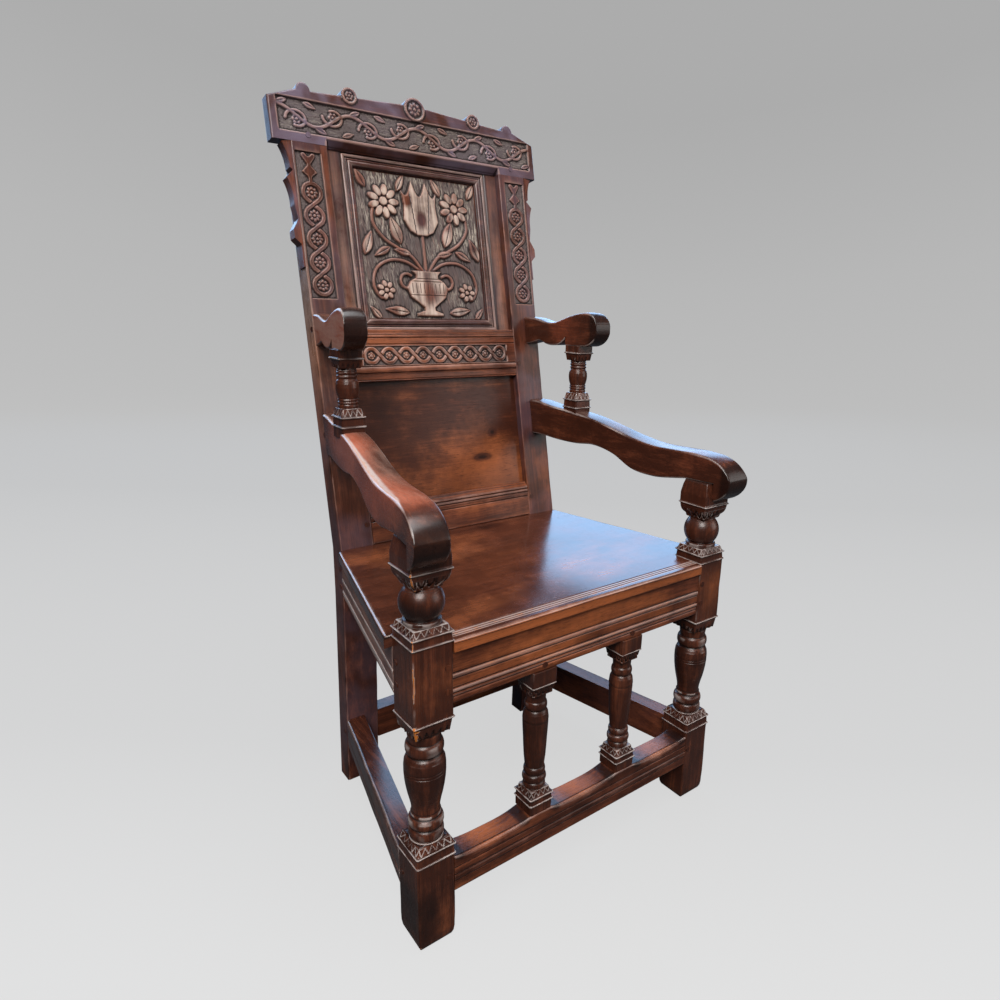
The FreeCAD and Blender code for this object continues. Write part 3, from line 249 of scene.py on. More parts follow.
# Warmer (above 0) and darker (below 0) places: the middle, the reach along each axis and the amount
every = 1e5  # as far as the piece goes


def band(height, reach, amount):
    # a place that runs all round the piece at a height
    return (0, 0, height), (every, every, reach), amount


patches = dict(
    lowerPanel=(band(545, 70, 0.42), ((80, 0, 610), (90, every, 90), 0.5), ((80, 0, 594), (15, every, 5), -2.6),
                ((108, 0, 640), (6, every, 5), -2.0), ((-120, 0, 700), (80, every, 70), -0.6),
                ((160, 0, 700), (40, every, 60), -0.4)),
    seatBoard=(((0, -272, 460), (every, 3.2, 14), 1.1), ((-150, 60, 470), (120, 90, every), -0.5),
               ((40, 105, 470), (50, 26, every), -0.9), ((-40, -150, 470), (100, 50, every), 0.3),
               ((120, -110, 470), (120, 110, every), -0.4)),
    frontRail=(((-90, 0, 425), (190, every, 60), 0.75), ((150, 0, 425), (90, every, 60), 0.4)),
    frontStretcher=(((0, -255, 131), (42, every, 9), 1.25), ((178, -255, 131), (40, every, 9), 1.25),
                    ((-178, -255, 131), (40, every, 9), 1.25), ((0, -268, 100), (every, every, 22), -0.5),
                    # dark spots on the top beside the feet of the spindles and posts: painted shade
                    *(((x, -250, 134), (11, every, 9), -1.8) for x in (-232, -120, -57, 57, 120, 232))),
    lowerBackRail=(band(500, 26, 0.3),),
    # the band at 512 darkens the ball below its middle: painted shade on its lower half
    postLeft=(band(415, 50, 0.24), band(60, 60, -1.05), band(512, 22, -1.0), band(270, 60, -0.6),
              ((-255, -268, 50), (13, 12, 36), 1.1)),
    postRight=(band(415, 60, 0.45), band(60, 60, -0.5), band(521, 22, -0.5), band(270, 60, -0.75)),
    spindleLeft=(band(250, every, -0.6),),
    spindleRight=(band(250, every, -0.55),),
    lowerArmLeft=(((0, -190, 668), (every, 70, 26), 0.9), ((0, 20, 690), (every, 90, 22), 0.4),
                  # these two places on the outer side face are painted light, making that face lighter as if lit
                  ((-285, -80, 630), (22, 180, 50), 0.7), ((-262, 60, 670), (24, 120, 60), 1.3)),
    lowerArmRight=(((256, -150, 640), (9, 130, 40), 0.5), ((212, -20, 670), (22, 160, 60), -0.4)),
    upperArmRight=(((220, 90, 850), (20, 60, 50), 0.5),),
    stileRight=(((200, 0, 545), (every, every, 110), 0.6), ((205, 0, 620), (26, every, 22), -1.9),
                ((190, 0, 520), (9, every, 70), -0.6)),
    stileLeft=(band(700, 150, 0.2), ((-234, 120, 800), (3.5, every, 420), 0.6)),
    # upper panel: the warmer margins beside the stiles are painted light; the dark lines at the frame's edge are
    # painted shadow in the gutter
    upperPanel=(((-160, 0, 900), (16, every, 200), 0.4), ((160, 0, 900), (14, every, 150), 0.45),
                ((-145, 0, 1000), (4.5, every, every), -1.5), ((145, 0, 1000), (4.5, every, every), -1.5)),
)
# Places with a pale surface, in the same way; some of them are painted light
paleAndSheenPlaces = dict(
    # painted light on the lower left arm's outer side
    lowerArmLeft=(((-262, 60, 680), (24, 120, 60), 0.12),),
    stileLeft=(((-234, 120, 900), (3.5, every, 150), 0.6), ((-200, 0, 800), (every, every, 200), 0.05)),
    # the paler margins beside the stiles are painted light
    upperPanel=(((-160, 0, 900), (16, every, 260), 0.22), ((160, 0, 900), (16, every, 260), 0.12)),
    sideRailLeft=(((-290, 0, 420), (every, every, every), 0.16),),
)


def spots(table, name, points):
    # the amounts at each point, summed: each falls off from its middle like a bell, exp(-(distance / reach) squared)
    total = np.zeros(len(points))
    for middle, reach, amount in table.get(name, ()):
        total += amount * np.exp(-(((points - middle) / reach) ** 2).sum(1))
    return total


print("oak finishes ready")


# Meshes from arrays. Shapes are in millimetres, with the chair's own places
def smooth(low, high, t):
    # 0 below low, 1 above high, and 3 s^2 - 2 s^3 between
    s = np.clip((t - low) / (high - low), 0, 1)
    return s * s * (3 - 2 * s)


def lattice(a, b, sizeA, sizeB, seed):
    # value noise from 0 to 1: random numbers on a lattice, eased between its points
    table = np.random.default_rng(seed).random((256, 256))
    a, b = np.asarray(a) / sizeA, np.asarray(b) / sizeB
    i, j = np.floor(a).astype(int), np.floor(b).astype(int)
    s, t = smooth(0, 1, a - i), smooth(0, 1, b - j)
    near = table[i % 256, j % 256] * (1 - s) + table[(i + 1) % 256, j % 256] * s
    far = table[i % 256, (j + 1) % 256] * (1 - s) + table[(i + 1) % 256, (j + 1) % 256] * s
    return near * (1 - t) + far * t


def blurred(values, passes, around=False):
    # each point takes a quarter from both neighbours, along both ways of the grid; around: the first way closes
    for _ in range(passes):
        if around:
            values = values * 0.5 + (np.roll(values, 1, 0) + np.roll(values, -1, 0)) * 0.25
        else:
            padded = np.pad(values, ((1, 1), (0, 0)), "edge")
            values = padded[1:-1] * 0.5 + (padded[:-2] + padded[2:]) * 0.25
        padded = np.pad(values, ((0, 0), (1, 1)), "edge")
        values = padded[:, 1:-1] * 0.5 + (padded[:, :-2] + padded[:, 2:]) * 0.25
    return values


def onBack(x, along, out):
    # a point of the leaning back: along runs up its face from the seat's top, out is towards the sitter
    y = back["face"] + along * math.sin(rake) - out * math.cos(rake)
    z = back["seat"] + along * math.cos(rake) + out * math.sin(rake)
    return np.stack(np.broadcast_arrays(x, y, z), -1)


def addPiece(name, points, faces, wear, ground, finish, replaced, caps, flat=0, tint=0.0):
    # points and faces to a mesh in metres, with its wear, bare ground and tint at each point; the sign of the volume
    # within the faces tells whether they point outwards; flat: how many at the end are shaded flat, caps apart
    tint = tint + spots(patches, name, points)
    ground = ground - spots(paleAndSheenPlaces, name, points)
    points = np.asarray(points, float) * 0.001
    about = points - points.mean(0)
    a, b, c, d = (about[faces[:, k]] for k in range(4))
    volume = np.einsum("ij,ij->i", a, np.cross(b, c) + np.cross(c, d)).sum()
    faces = faces.tolist() + [list(map(int, cap)) for cap in caps]
    if volume < 0:
        faces = [face[::-1] for face in faces]
    mesh = bpy.data.meshes.new(name)
    mesh.from_pydata(points.tolist(), [], faces)
    for key, values in (("wear", wear), ("ground", ground), ("tint", tint)):
        layer = mesh.attributes.new(key, "FLOAT", "POINT")
        layer.data.foreach_set("value", np.ascontiguousarray(values, np.float32))
    mesh.polygons.foreach_set("use_smooth", np.arange(len(faces)) < len(faces) - len(caps) - flat)
    mesh.validate()
    mesh.update()
    piece = bpy.data.objects.new(name, mesh)
    scene.collection.objects.link(piece)
    mesh.materials.append(finishes[finish])
    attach(piece, "root")
    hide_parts(*replaced)
    return piece


def gridFaces(rows, columns, around=False):
    # a four-sided face between neighbours of a grid; around: the last row meets the first
    index = np.arange(rows * columns).reshape(rows, columns)
    if around:
        index = np.vstack([index, index[:1]])
    return np.stack([index[:-1, :-1], index[1:, :-1], index[1:, 1:], index[:-1, 1:]], -1).reshape(-1, 4)


def slab(name, across, up, front, back, place, finish, replaced, ground=None, rings=3, spread=12,
         bent=False, wearShare=1.0, rubs=0.0):
    # a board: a front grid over a plan, rings of points down its border, and a back of strips that run up it,
    # or across it where the board is bent along its length
    rows, columns = across.shape
    front = np.broadcast_to(front, across.shape).astype(float)
    back = np.broadcast_to(back, across.shape).astype(float)
    ground = np.zeros(across.shape) if ground is None else ground
    # wear is how far the front stands over its blurred self, with a drop of 0.7 past the border; wearShare scales it
    # and the rubbed lines add to it, pale polish that is partly a painted highlight
    edged = np.pad(np.pad(front, 2, "edge") - 0.7, 2, "edge")
    edged[4:-4, 4:-4] = front
    wear = (np.clip((front - blurred(edged, spread)[4:-4, 4:-4]) / 0.75, -1, 1) * wearShare + rubs).reshape(-1)
    index = np.arange(rows * columns).reshape(rows, columns)
    border = np.concatenate([index[:-1, 0], index[-1, :-1], index[:0:-1, -1], index[0, :0:-1]])
    fronts = place(across, up, front).reshape(-1, 3)
    backs = place(across, up, back).reshape(-1, 3)[border]
    shares = [0.03, *np.linspace(0, 1, rings + 2)[1:-1], 0.97, 1.0]
    sides = [fronts[border] * (1 - share) + backs * share for share in shares]
    loops = [border] + [rows * columns + k * len(border) + np.arange(len(border)) for k in range(len(shares))]
    faces = [gridFaces(rows, columns)]
    for first, second in zip(loops, loops[1:]):
        faces.append(np.stack([np.roll(first, -1), first, second, np.roll(second, -1)], -1))
    wears = [wear] + [wear[border] * (0.3 - share * 0.3) for share in shares]
    grounds = [ground.reshape(-1), np.zeros(len(border) * len(shares))]
    # the last loop as four sides: left and right run up, bottom and top run across
    last = loops[-1]
    bottom, right = last[:rows], last[rows - 1:rows + columns - 1]
    top = last[rows + columns - 2:2 * rows + columns - 2][::-1]
    left = np.append(last[0], last[:-columns:-1])
    if bent:
        middle = np.stack([left[1:-2], left[2:-1], right[2:-1], right[1:-2]], -1)
        caps = [[*bottom[::-1], left[1], right[1]], [*top, right[-2], left[-2]]]
    else:
        middle = np.stack([bottom[1:-2], bottom[2:-1], top[2:-1], top[1:-2]], -1)[:, ::-1]
        caps = [[bottom[1], bottom[0], *left[1:], top[1]], [bottom[-2], top[-2], *right[::-1]]]
    faces.append(middle)
    return addPiece(name, np.concatenate([fronts, *sides]), np.concatenate(faces), np.concatenate(wears),
                    np.concatenate(grounds), finish, replaced, caps, len(middle))


def stops(*runs):
    # grid lines: runs of (start, end, spacing), joined end to end
    lines = [np.linspace(a, b, max(2, int(round(abs(b - a) / step)) + 1)) for a, b, step in runs]
    return np.unique(np.round(np.concatenate(lines), 3))


def rim(low, high, radius):
    # extra grid lines that follow a rounded edge at both ends
    bend = radius * (1 - np.cos(np.linspace(0, math.pi / 2, 6)))
    return np.concatenate([low + bend, high - bend, [low + radius * 1.25, high - radius * 1.25]])


def roundOver(fromA, fromB, radius):
    # how far a surface falls at a distance from two borders, as a quarter circle
    a = np.clip(radius - fromA, 0, None)
    b = np.clip(radius - fromB, 0, None)
    reach = np.minimum(np.hypot(a, b), radius)
    return radius - np.sqrt(np.clip(radius ** 2 - reach ** 2, 0, None))


def gridOf(us, vs):
    # two arrays with the values of both ways at each grid point; a way is one run of lines or a list of runs
    us, vs = (np.unique(np.concatenate(way)) if isinstance(way, list) else way for way in (us, vs))
    return np.meshgrid(us, vs, indexing="ij")


def boardEnds(u, v, half, low, high, radius):
    # the fall at a rail's borders: rounded above and below, nearly square where its ends meet the uprights
    return -roundOver(half + 9 - np.abs(u), np.minimum(v - low, high - v), radius)


def grooves(v, cuts):
    # V or round cuts across v: each cut is its middle, its half width and its depth
    depth = np.zeros_like(v)
    for middle, half, deep in cuts:
        depth = np.maximum(depth, deep * np.clip(1 - np.abs(v - middle) / half, 0, 1) ** 0.8)
    return depth


def beads(v, rounds):
    # half-round beads along v: each bead is its middle, its half width and its height
    height = np.zeros_like(v)
    for middle, half, high in rounds:
        height = np.maximum(height, high * np.sqrt(np.clip(1 - ((v - middle) / half) ** 2, 0, 1)))
    return height


# Turned and squared uprights: a radius given all round at each height
def profile(heights, table):
    # values between the rows (height, value, bulge); a bulge adds half an ellipse, a cove takes it away
    at = np.array([row[0] for row in table], float)
    values = np.array([row[1] for row in table], float)
    bulge = np.array([row[2] if len(row) > 2 else 0 for row in table], float)
    k = np.clip(np.searchsorted(at, heights, "right") - 1, 0, len(at) - 2)
    share = np.clip((heights - at[k]) / np.maximum(at[k + 1] - at[k], 1e-6), 0, 1)
    return values[k] * (1 - share) + values[k + 1] * share + bulge[k] * np.sqrt(np.clip(4 * share * (1 - share), 0, 1))


def throughPoints(wanted, at, values):
    # a smooth curve through points, with each slope the mean of its neighbours' slopes
    at, values = np.asarray(at, float), np.asarray(values, float)
    slope = np.gradient(values, at)
    k = np.clip(np.searchsorted(at, wanted, "right") - 1, 0, len(at) - 2)
    width = at[k + 1] - at[k]
    s = np.clip((wanted - at[k]) / width, 0, 1)
    return ((2 * s ** 3 - 3 * s ** 2 + 1) * values[k] + (s ** 3 - 2 * s ** 2 + s) * width * slope[k]
            + (3 * s ** 2 - 2 * s ** 3) * values[k + 1] + (s ** 3 - s ** 2) * width * slope[k + 1])


def squared(theta, half, worn):
    # the radius of a square with slightly worn corners
    across = np.maximum(np.abs(np.cos(theta)), np.abs(np.sin(theta)))
    return np.minimum(half / across, half * math.sqrt(2) - worn)


def sideShare(theta):
    # how far along a side of the square a direction points, from -1 to 1
    local = (theta + math.pi / 4) % (math.pi / 2) - math.pi / 4
    return np.tan(local)


def zigzag(theta, count):
    # a triangle wave along each side of the square, count points to a side
    share = (sideShare(theta) + 1) / 2 * count
    return np.abs(share % 1 - 0.5) * 2


def beadRows(*bottoms, half, proud=1.8, high=3.4):
    # rows for thin half-round beads that run round a square
    return [(low + high * t, half + proud * math.sin(math.pi * t) ** 0.6) for low in bottoms
            for t in (0, 0.12, 0.3, 0.5, 0.7, 0.88, 1)]


def uprightPiece(name, side, way, shape):
    # a radius at each direction and height: a square's and a circle's, mixed by height, less the carved triangles,
    # notches and crescents; x and y are the middle plus the radius times the direction's cosine and sine
    low, high = shape["height"]
    squareRows = sorted(shape["square"] + beadRows(*shape["beads"], half=shape["side"], high=shape["beadHigh"]))
    heights = np.unique(np.round(np.concatenate([
        np.arange(low, high, shape["step"]), [high], *[[row[0], row[0] + 0.3] for row in shape["round"]],
        [row[0] for row in squareRows], *[np.arange(start, end, 0.5) for start, end in shape["fine"]]]), 3))
    heights = heights[(heights >= low) & (heights <= high)]
    # directions all round, closer together at the corners of the square
    theta = np.arange(shape["around"]) * 2 * math.pi / shape["around"]
    theta = theta + 0.125 * np.sin(4 * theta)
    th, h = np.meshgrid(theta, heights, indexing="ij")
    roundness = profile(h, shape["roundness"])
    worn = 0.7 + 1.1 * lattice(th * 30, h, 20, 26, 5) ** 2
    r = squared(th, profile(h, squareRows), worn) * (1 - roundness) + profile(h, shape["round"]) * roundness
    pale = np.zeros_like(r)
    for bottom, top, count, deep in shape["chips"]:
        # triangles: V cuts along a zigzag, and the fields between them a little sunk
        t = (h - bottom) / (top - bottom)
        inside = (t > 0) * (t < 1)
        line = np.abs(zigzag(th, count) - t)
        r -= inside * deep * (0.6 * smooth(0.2, 0.34, line) * (zigzag(th, count) > t) + 0.25)
        pale = np.maximum(pale, inside * (1 - smooth(0.08, 0.26, line)))
    for bottom, top, count, deep in shape["nicks"]:
        # triangular notches that open downwards
        t = (h - bottom) / (top - bottom)
        near = 1 - zigzag(th, count)
        r -= deep * smooth(0, 0.3, near - t) * (t > -0.3) * (t < 1)
    dark = np.zeros_like(r)
    for bottom, top, count, deep in shape["scallops"]:
        # crescents cut with a gouge, one under each tongue
        t = (h - bottom) / (top - bottom)
        reach = np.hypot(1 - zigzag(th, count), (t - 1) * 0.9)
        cut = smooth(0.45, 0.78, reach) * (reach < 0.86) * (t > 0) * (t < 1)
        r -= deep * cut
        dark = np.maximum(dark, cut)
    for at, half, deep in shape["lines"]:
        r -= deep * np.clip(1 - np.abs(h - at) / half, 0, 1)
    for bottom in shape["beads"]:
        pale = np.maximum(pale, smooth(0.3, 1.4, h - bottom) * (1 - smooth(-0.6, 0, h - bottom - shape["beadHigh"])))
    for bottom, top in shape["dusty"]:
        pale = np.maximum(pale, 1.3 * (h > bottom) * (h < top))
    patchy = lattice(th * 40, h, 16, 16, 6)
    # arrises that run up are worn in places only, and hardly at all near the floor
    wear = np.clip((r - blurred(r, 3, True)) / 0.9, -1, 1)
    wear = np.where(wear > 0, wear * smooth(0.35, 0.8, patchy) * smooth(120, 200, h), wear)
    wear = wear + pale * (0.45 + 0.5 * patchy)
    wear = np.minimum(wear, 0.8) - 1.2 * dark
    for turn, bottom, top, wide in shape["worn"].get(name, ()):
        # the orange places where the finish has chipped off an edge
        far = np.abs((th - math.radians(turn) + math.pi) % (2 * math.pi) - math.pi) * r
        wear += (far < wide * lattice(h, th * 60, 3.0, 2.0, 9)) * (h > bottom) * (h < top) * 1.7
    x, y = shape["middle"]
    points = np.stack([way * x + r * np.cos(th), y + r * np.sin(th), h], -1).reshape(-1, 3)
    index = np.arange(r.size).reshape(r.shape)
    return addPiece(name, points, gridFaces(*r.shape, around=True), np.clip(wear, -1, 1.6).reshape(-1),
                    np.zeros(r.size), "turned", [shape["node"] + side], [index[::-1, 0], index[:, -1]])


# Each upright by height in mm: its square and its round outline, how round it is, and the carving on it as
# (bottom, top, marks to a side, depth); worn places are (direction, bottom, top, width)
postShape = dict(
    node="front_post_", middle=(271, -239.57), around=144, height=(0, 608), step=3.0, side=29.0, beadHigh=3.4,
    dusty=((170.0, 171.2), (492.2, 494.0)), beads=(141.4, 157.6, 357.4, 467.8, 481.0, 567.2),
    fine=((139, 172), (273.5, 281), (336, 362), (467, 494), (542, 571)),
    square=[(0, 22.5), (3, 25.6), (8, 27.6), (16, 28.7), (30, 29), (141.3, 29), (144.3, 29), (157.5, 28.2),
            (160.5, 28.2), (160.7, 27.4), (169.8, 24.6), (170, 20), (337.6, 20), (338, 26), (355, 28), (357.3, 28.2),
            (360.3, 29), (467.7, 29), (470.7, 29), (480.9, 28.2), (483.9, 28.2), (484.1, 27.6), (492.4, 25.2),
            (492.6, 20), (543.4, 19), (543.8, 19.6), (549, 22.4), (556, 26.6), (561, 28.0), (567.1, 28.6), (570.1, 29),
            (586, 29), (600, 26.6), (608, 24.4)],
    round=[(0, 41), (168, 25), (170, 24.6, 0), (171.6, 21.6, 3.4), (188, 21.2, 0), (188.4, 20.4, 4.8), (205, 20.0, 0),
           (205.4, 19.6, 1.8), (213, 19.4, 0), (216, 19.8, 0), (222, 20.3), (231, 22.1), (241, 24.5), (252, 26.6),
           (263, 28.1), (274, 28.9), (285, 28.9), (293, 28.0), (299, 25.4), (302, 22.4, 0), (303, 22.2, 4.4),
           (322, 22.0, 0), (325, 22.4), (333, 23.4), (338, 24), (357, 40), (482, 28), (492.4, 25, 0),
           (492.8, 24.2, 1.6), (499.4, 24.0, 0), (500, 21.6, 0), *[(521 + 29.9 * math.sin(a), 29.9 * math.cos(a))
           for a in np.radians(np.linspace(-43, 46, 16))], (543.4, 20.4, 0), (565, 40), (608, 41)],
    roundness=[(0, 0), (169.9, 0), (170.1, 1), (337.7, 1), (337.9, 0), (492.5, 0), (492.7, 1), (543.5, 1), (543.7, 0),
         (608, 0)],
    chips=((161.0, 169.6, 5, 1.3), (484.4, 492.2, 5, 1.3)),
    nicks=((338.0, 349, 5, 3.4),),
    scallops=((545, 560, 4, 3.0),),
    lines=((275, 0.9, 0.9), (279.5, 0.8, 0.7), (561.5, 0.6, 0.8), (354.6, 0.7, 0.8)),
    worn=dict(postLeft=((225, 398, 446, 1.5), (225, 337, 362, 5.0), (225, 470, 484, 1.2), (225, 543, 572, 1.8),
                        (225, 575, 600, 1.2), (225, 0, 9, 3.0))),
)
spindleShape = dict(
    node="front_spindle_", middle=(88.5, -246.57), around=128, height=(134, 376), step=1.8, side=20.5, beadHigh=3.0,
    dusty=((171.2, 172.2),), beads=(149.0, 160.2, 349.2),
    fine=((148, 172), (330, 354)),
    square=[(134, 20.5), (148.9, 20.5), (151.9, 20.5), (160.1, 19.8), (163.1, 19.6), (163.3, 19.2), (171.2, 17.2),
            (171.4, 15), (334.4, 14), (334.8, 18.2), (348, 20.2), (349.1, 20.4), (352.3, 21.8), (376, 22)],
    round=[(134, 29), (171.4, 17, 0), (171.6, 15.4, 2.2), (182, 15.2, 0), (182.3, 15.0, 3.8), (195.5, 14.8, 0),
           (195.8, 14.2, 2.8), (208, 14.0, 0), (209, 15.0), (213, 15.4), (225, 16.7), (240, 17.6), (257, 18.4),
           (275, 19.4), (291, 20), (300, 18.9), (305, 16.6, 0), (306.5, 14.8, 2.6), (320, 14.6, 0), (321, 14.8),
           (328, 15.2), (334.6, 15.6), (350, 28), (376, 30.5)],
    roundness=[(134, 0), (171.3, 0), (171.5, 1), (334.5, 1), (334.7, 0), (376, 0)],
    chips=((163.4, 171.0, 4, 1.1),),
    nicks=(),
    scallops=((334.8, 346.5, 4, 2.4),),
    lines=((216, 0.7, 0.6), (220, 0.7, 0.6), (287, 0.8, 0.7)),
    worn={},
)
balusterShape = dict(
    node="arm_baluster_", middle=(232.93, 62.43), around=128, height=(680, 815), step=1.2, side=18.9, beadHigh=3.8,
    dusty=((725.2, 726),), beads=(695.6, 710.6, 800.0),
    fine=((694, 727), (786, 805)),
    square=[(680, 18.9), (695.5, 18.9), (698.5, 18.4), (710.5, 18.4), (713.5, 17.8), (713.8, 16.8), (725.2, 15.6),
            (725.4, 13), (787.3, 13), (787.6, 16.6), (798, 18.2), (799.9, 18.4), (803, 18.6), (815, 18.9)],
    round=[(680, 27), (725.3, 15.2, 0), (726, 14.6, 0.8), (732, 14.4, 0), (732.4, 14.4, 1.4), (736.8, 14.4, 0),
           (737.2, 14.4, 1.4), (741, 14.2, 0), (742, 15.0), (746, 16.3), (751, 17.4), (757.5, 17.9), (763, 17.4),
           (768, 16.0), (770.6, 14.4, 0), (772.4, 14.2, 1.5), (777, 14.2, 0), (778, 14.2, 1.4), (782.6, 14.2, 0),
           (783.2, 14.4, 1.0), (787.2, 14.6, 0), (804, 26), (815, 27)],
    roundness=[(680, 0), (725.2, 0), (725.4, 1), (787.2, 1), (787.4, 0), (815, 0)],
    chips=((714.0, 725.0, 4, 1.1),),
    nicks=((787.4, 797, 4, 2.2),),
    scallops=(), lines=(), worn={},
)


def pair(name, build, *shape):
    # the same piece on both sides; way is -1 on the left and 1 on the right
    for side, way in (("left", -1), ("right", 1)):
        build(name + side.capitalize(), side, way, *shape)


pair("post", uprightPiece, postShape)
pair("spindle", uprightPiece, spindleShape)
pair("baluster", uprightPiece, balusterShape)
print("posts, spindles and balusters turned")


# Arms: rounded sections carried along the arm, between a top line, an underside and a tapering plan
# (top, nose and under are shares of the reach and the rise; near and far are y, the inner and the outer edge)
lowerArm = dict(
    node="lower_arm_", tip=-297.57, reach=424.0, seat=608.0, rise=91.0,
    top=[(0.0, 0.066), (0.0006, 0.100), (0.0026, 0.135), (0.007, 0.175), (0.014, 0.222), (0.026, 0.285),
         (0.05, 0.374), (0.08, 0.44), (0.163, 0.505), (0.257, 0.505), (0.375, 0.511), (0.493, 0.593),
         (0.611, 0.725), (0.729, 0.841), (0.847, 0.912), (0.965, 0.967), (1.03, 1.02)],
    nose=[(0.0, 0.066), (0.0006, 0.032), (0.0024, -0.02), (0.0075, -0.09), (0.019, -0.174), (0.04, -0.262),
          (0.0684, -0.33)],
    seatRun=(-268.57, -210.57), underEnd=132.0,
    under=[(0.0, 0.0), (0.06, -0.037), (0.195, -0.099), (0.331, -0.044), (0.467, 0.187), (0.603, 0.28),
           (0.739, 0.242), (0.874, 0.249), (1.0, 0.286)],
    near=(-268.57, 256.5, 304.5), far=(126.43, 201.5, 240.0), end=157.7, round=3.6, pinch=1.8,
)
upperArm = dict(
    node="upper_arm_", tip=3.24, reach=189.0, seat=815.0, rise=62.0,
    top=[(0.0, 0.53), (0.0015, 0.618), (0.007, 0.700), (0.02, 0.795), (0.0423, 0.881), (0.069, 0.940),
         (0.106, 0.983), (0.148, 1.0), (0.225, 0.985), (0.307, 0.94), (0.4, 0.862), (0.48, 0.78),
         (0.598, 0.677), (0.704, 0.677), (0.836, 0.774), (1.05, 0.79)],
    nose=[(0.0, 0.53), (0.0015, 0.442), (0.008, 0.348), (0.0191, 0.270), (0.037, 0.191), (0.0638, 0.118),
          (0.13, 0.027), (0.2126, 0.0)],
    seatRun=(43.43, 81.43), underEnd=191.7,
    under=[(0.01, 0.226), (0.125, 0.06), (0.318, -0.024), (0.49, 0.0), (0.655, 0.097), (0.8, 0.03), (1.0, -0.045)],
    near=(62.43, 215.93, 249.93), far=(192.24, 202.0, 231.0), end=191.7, round=3.2, pinch=1.6,
)


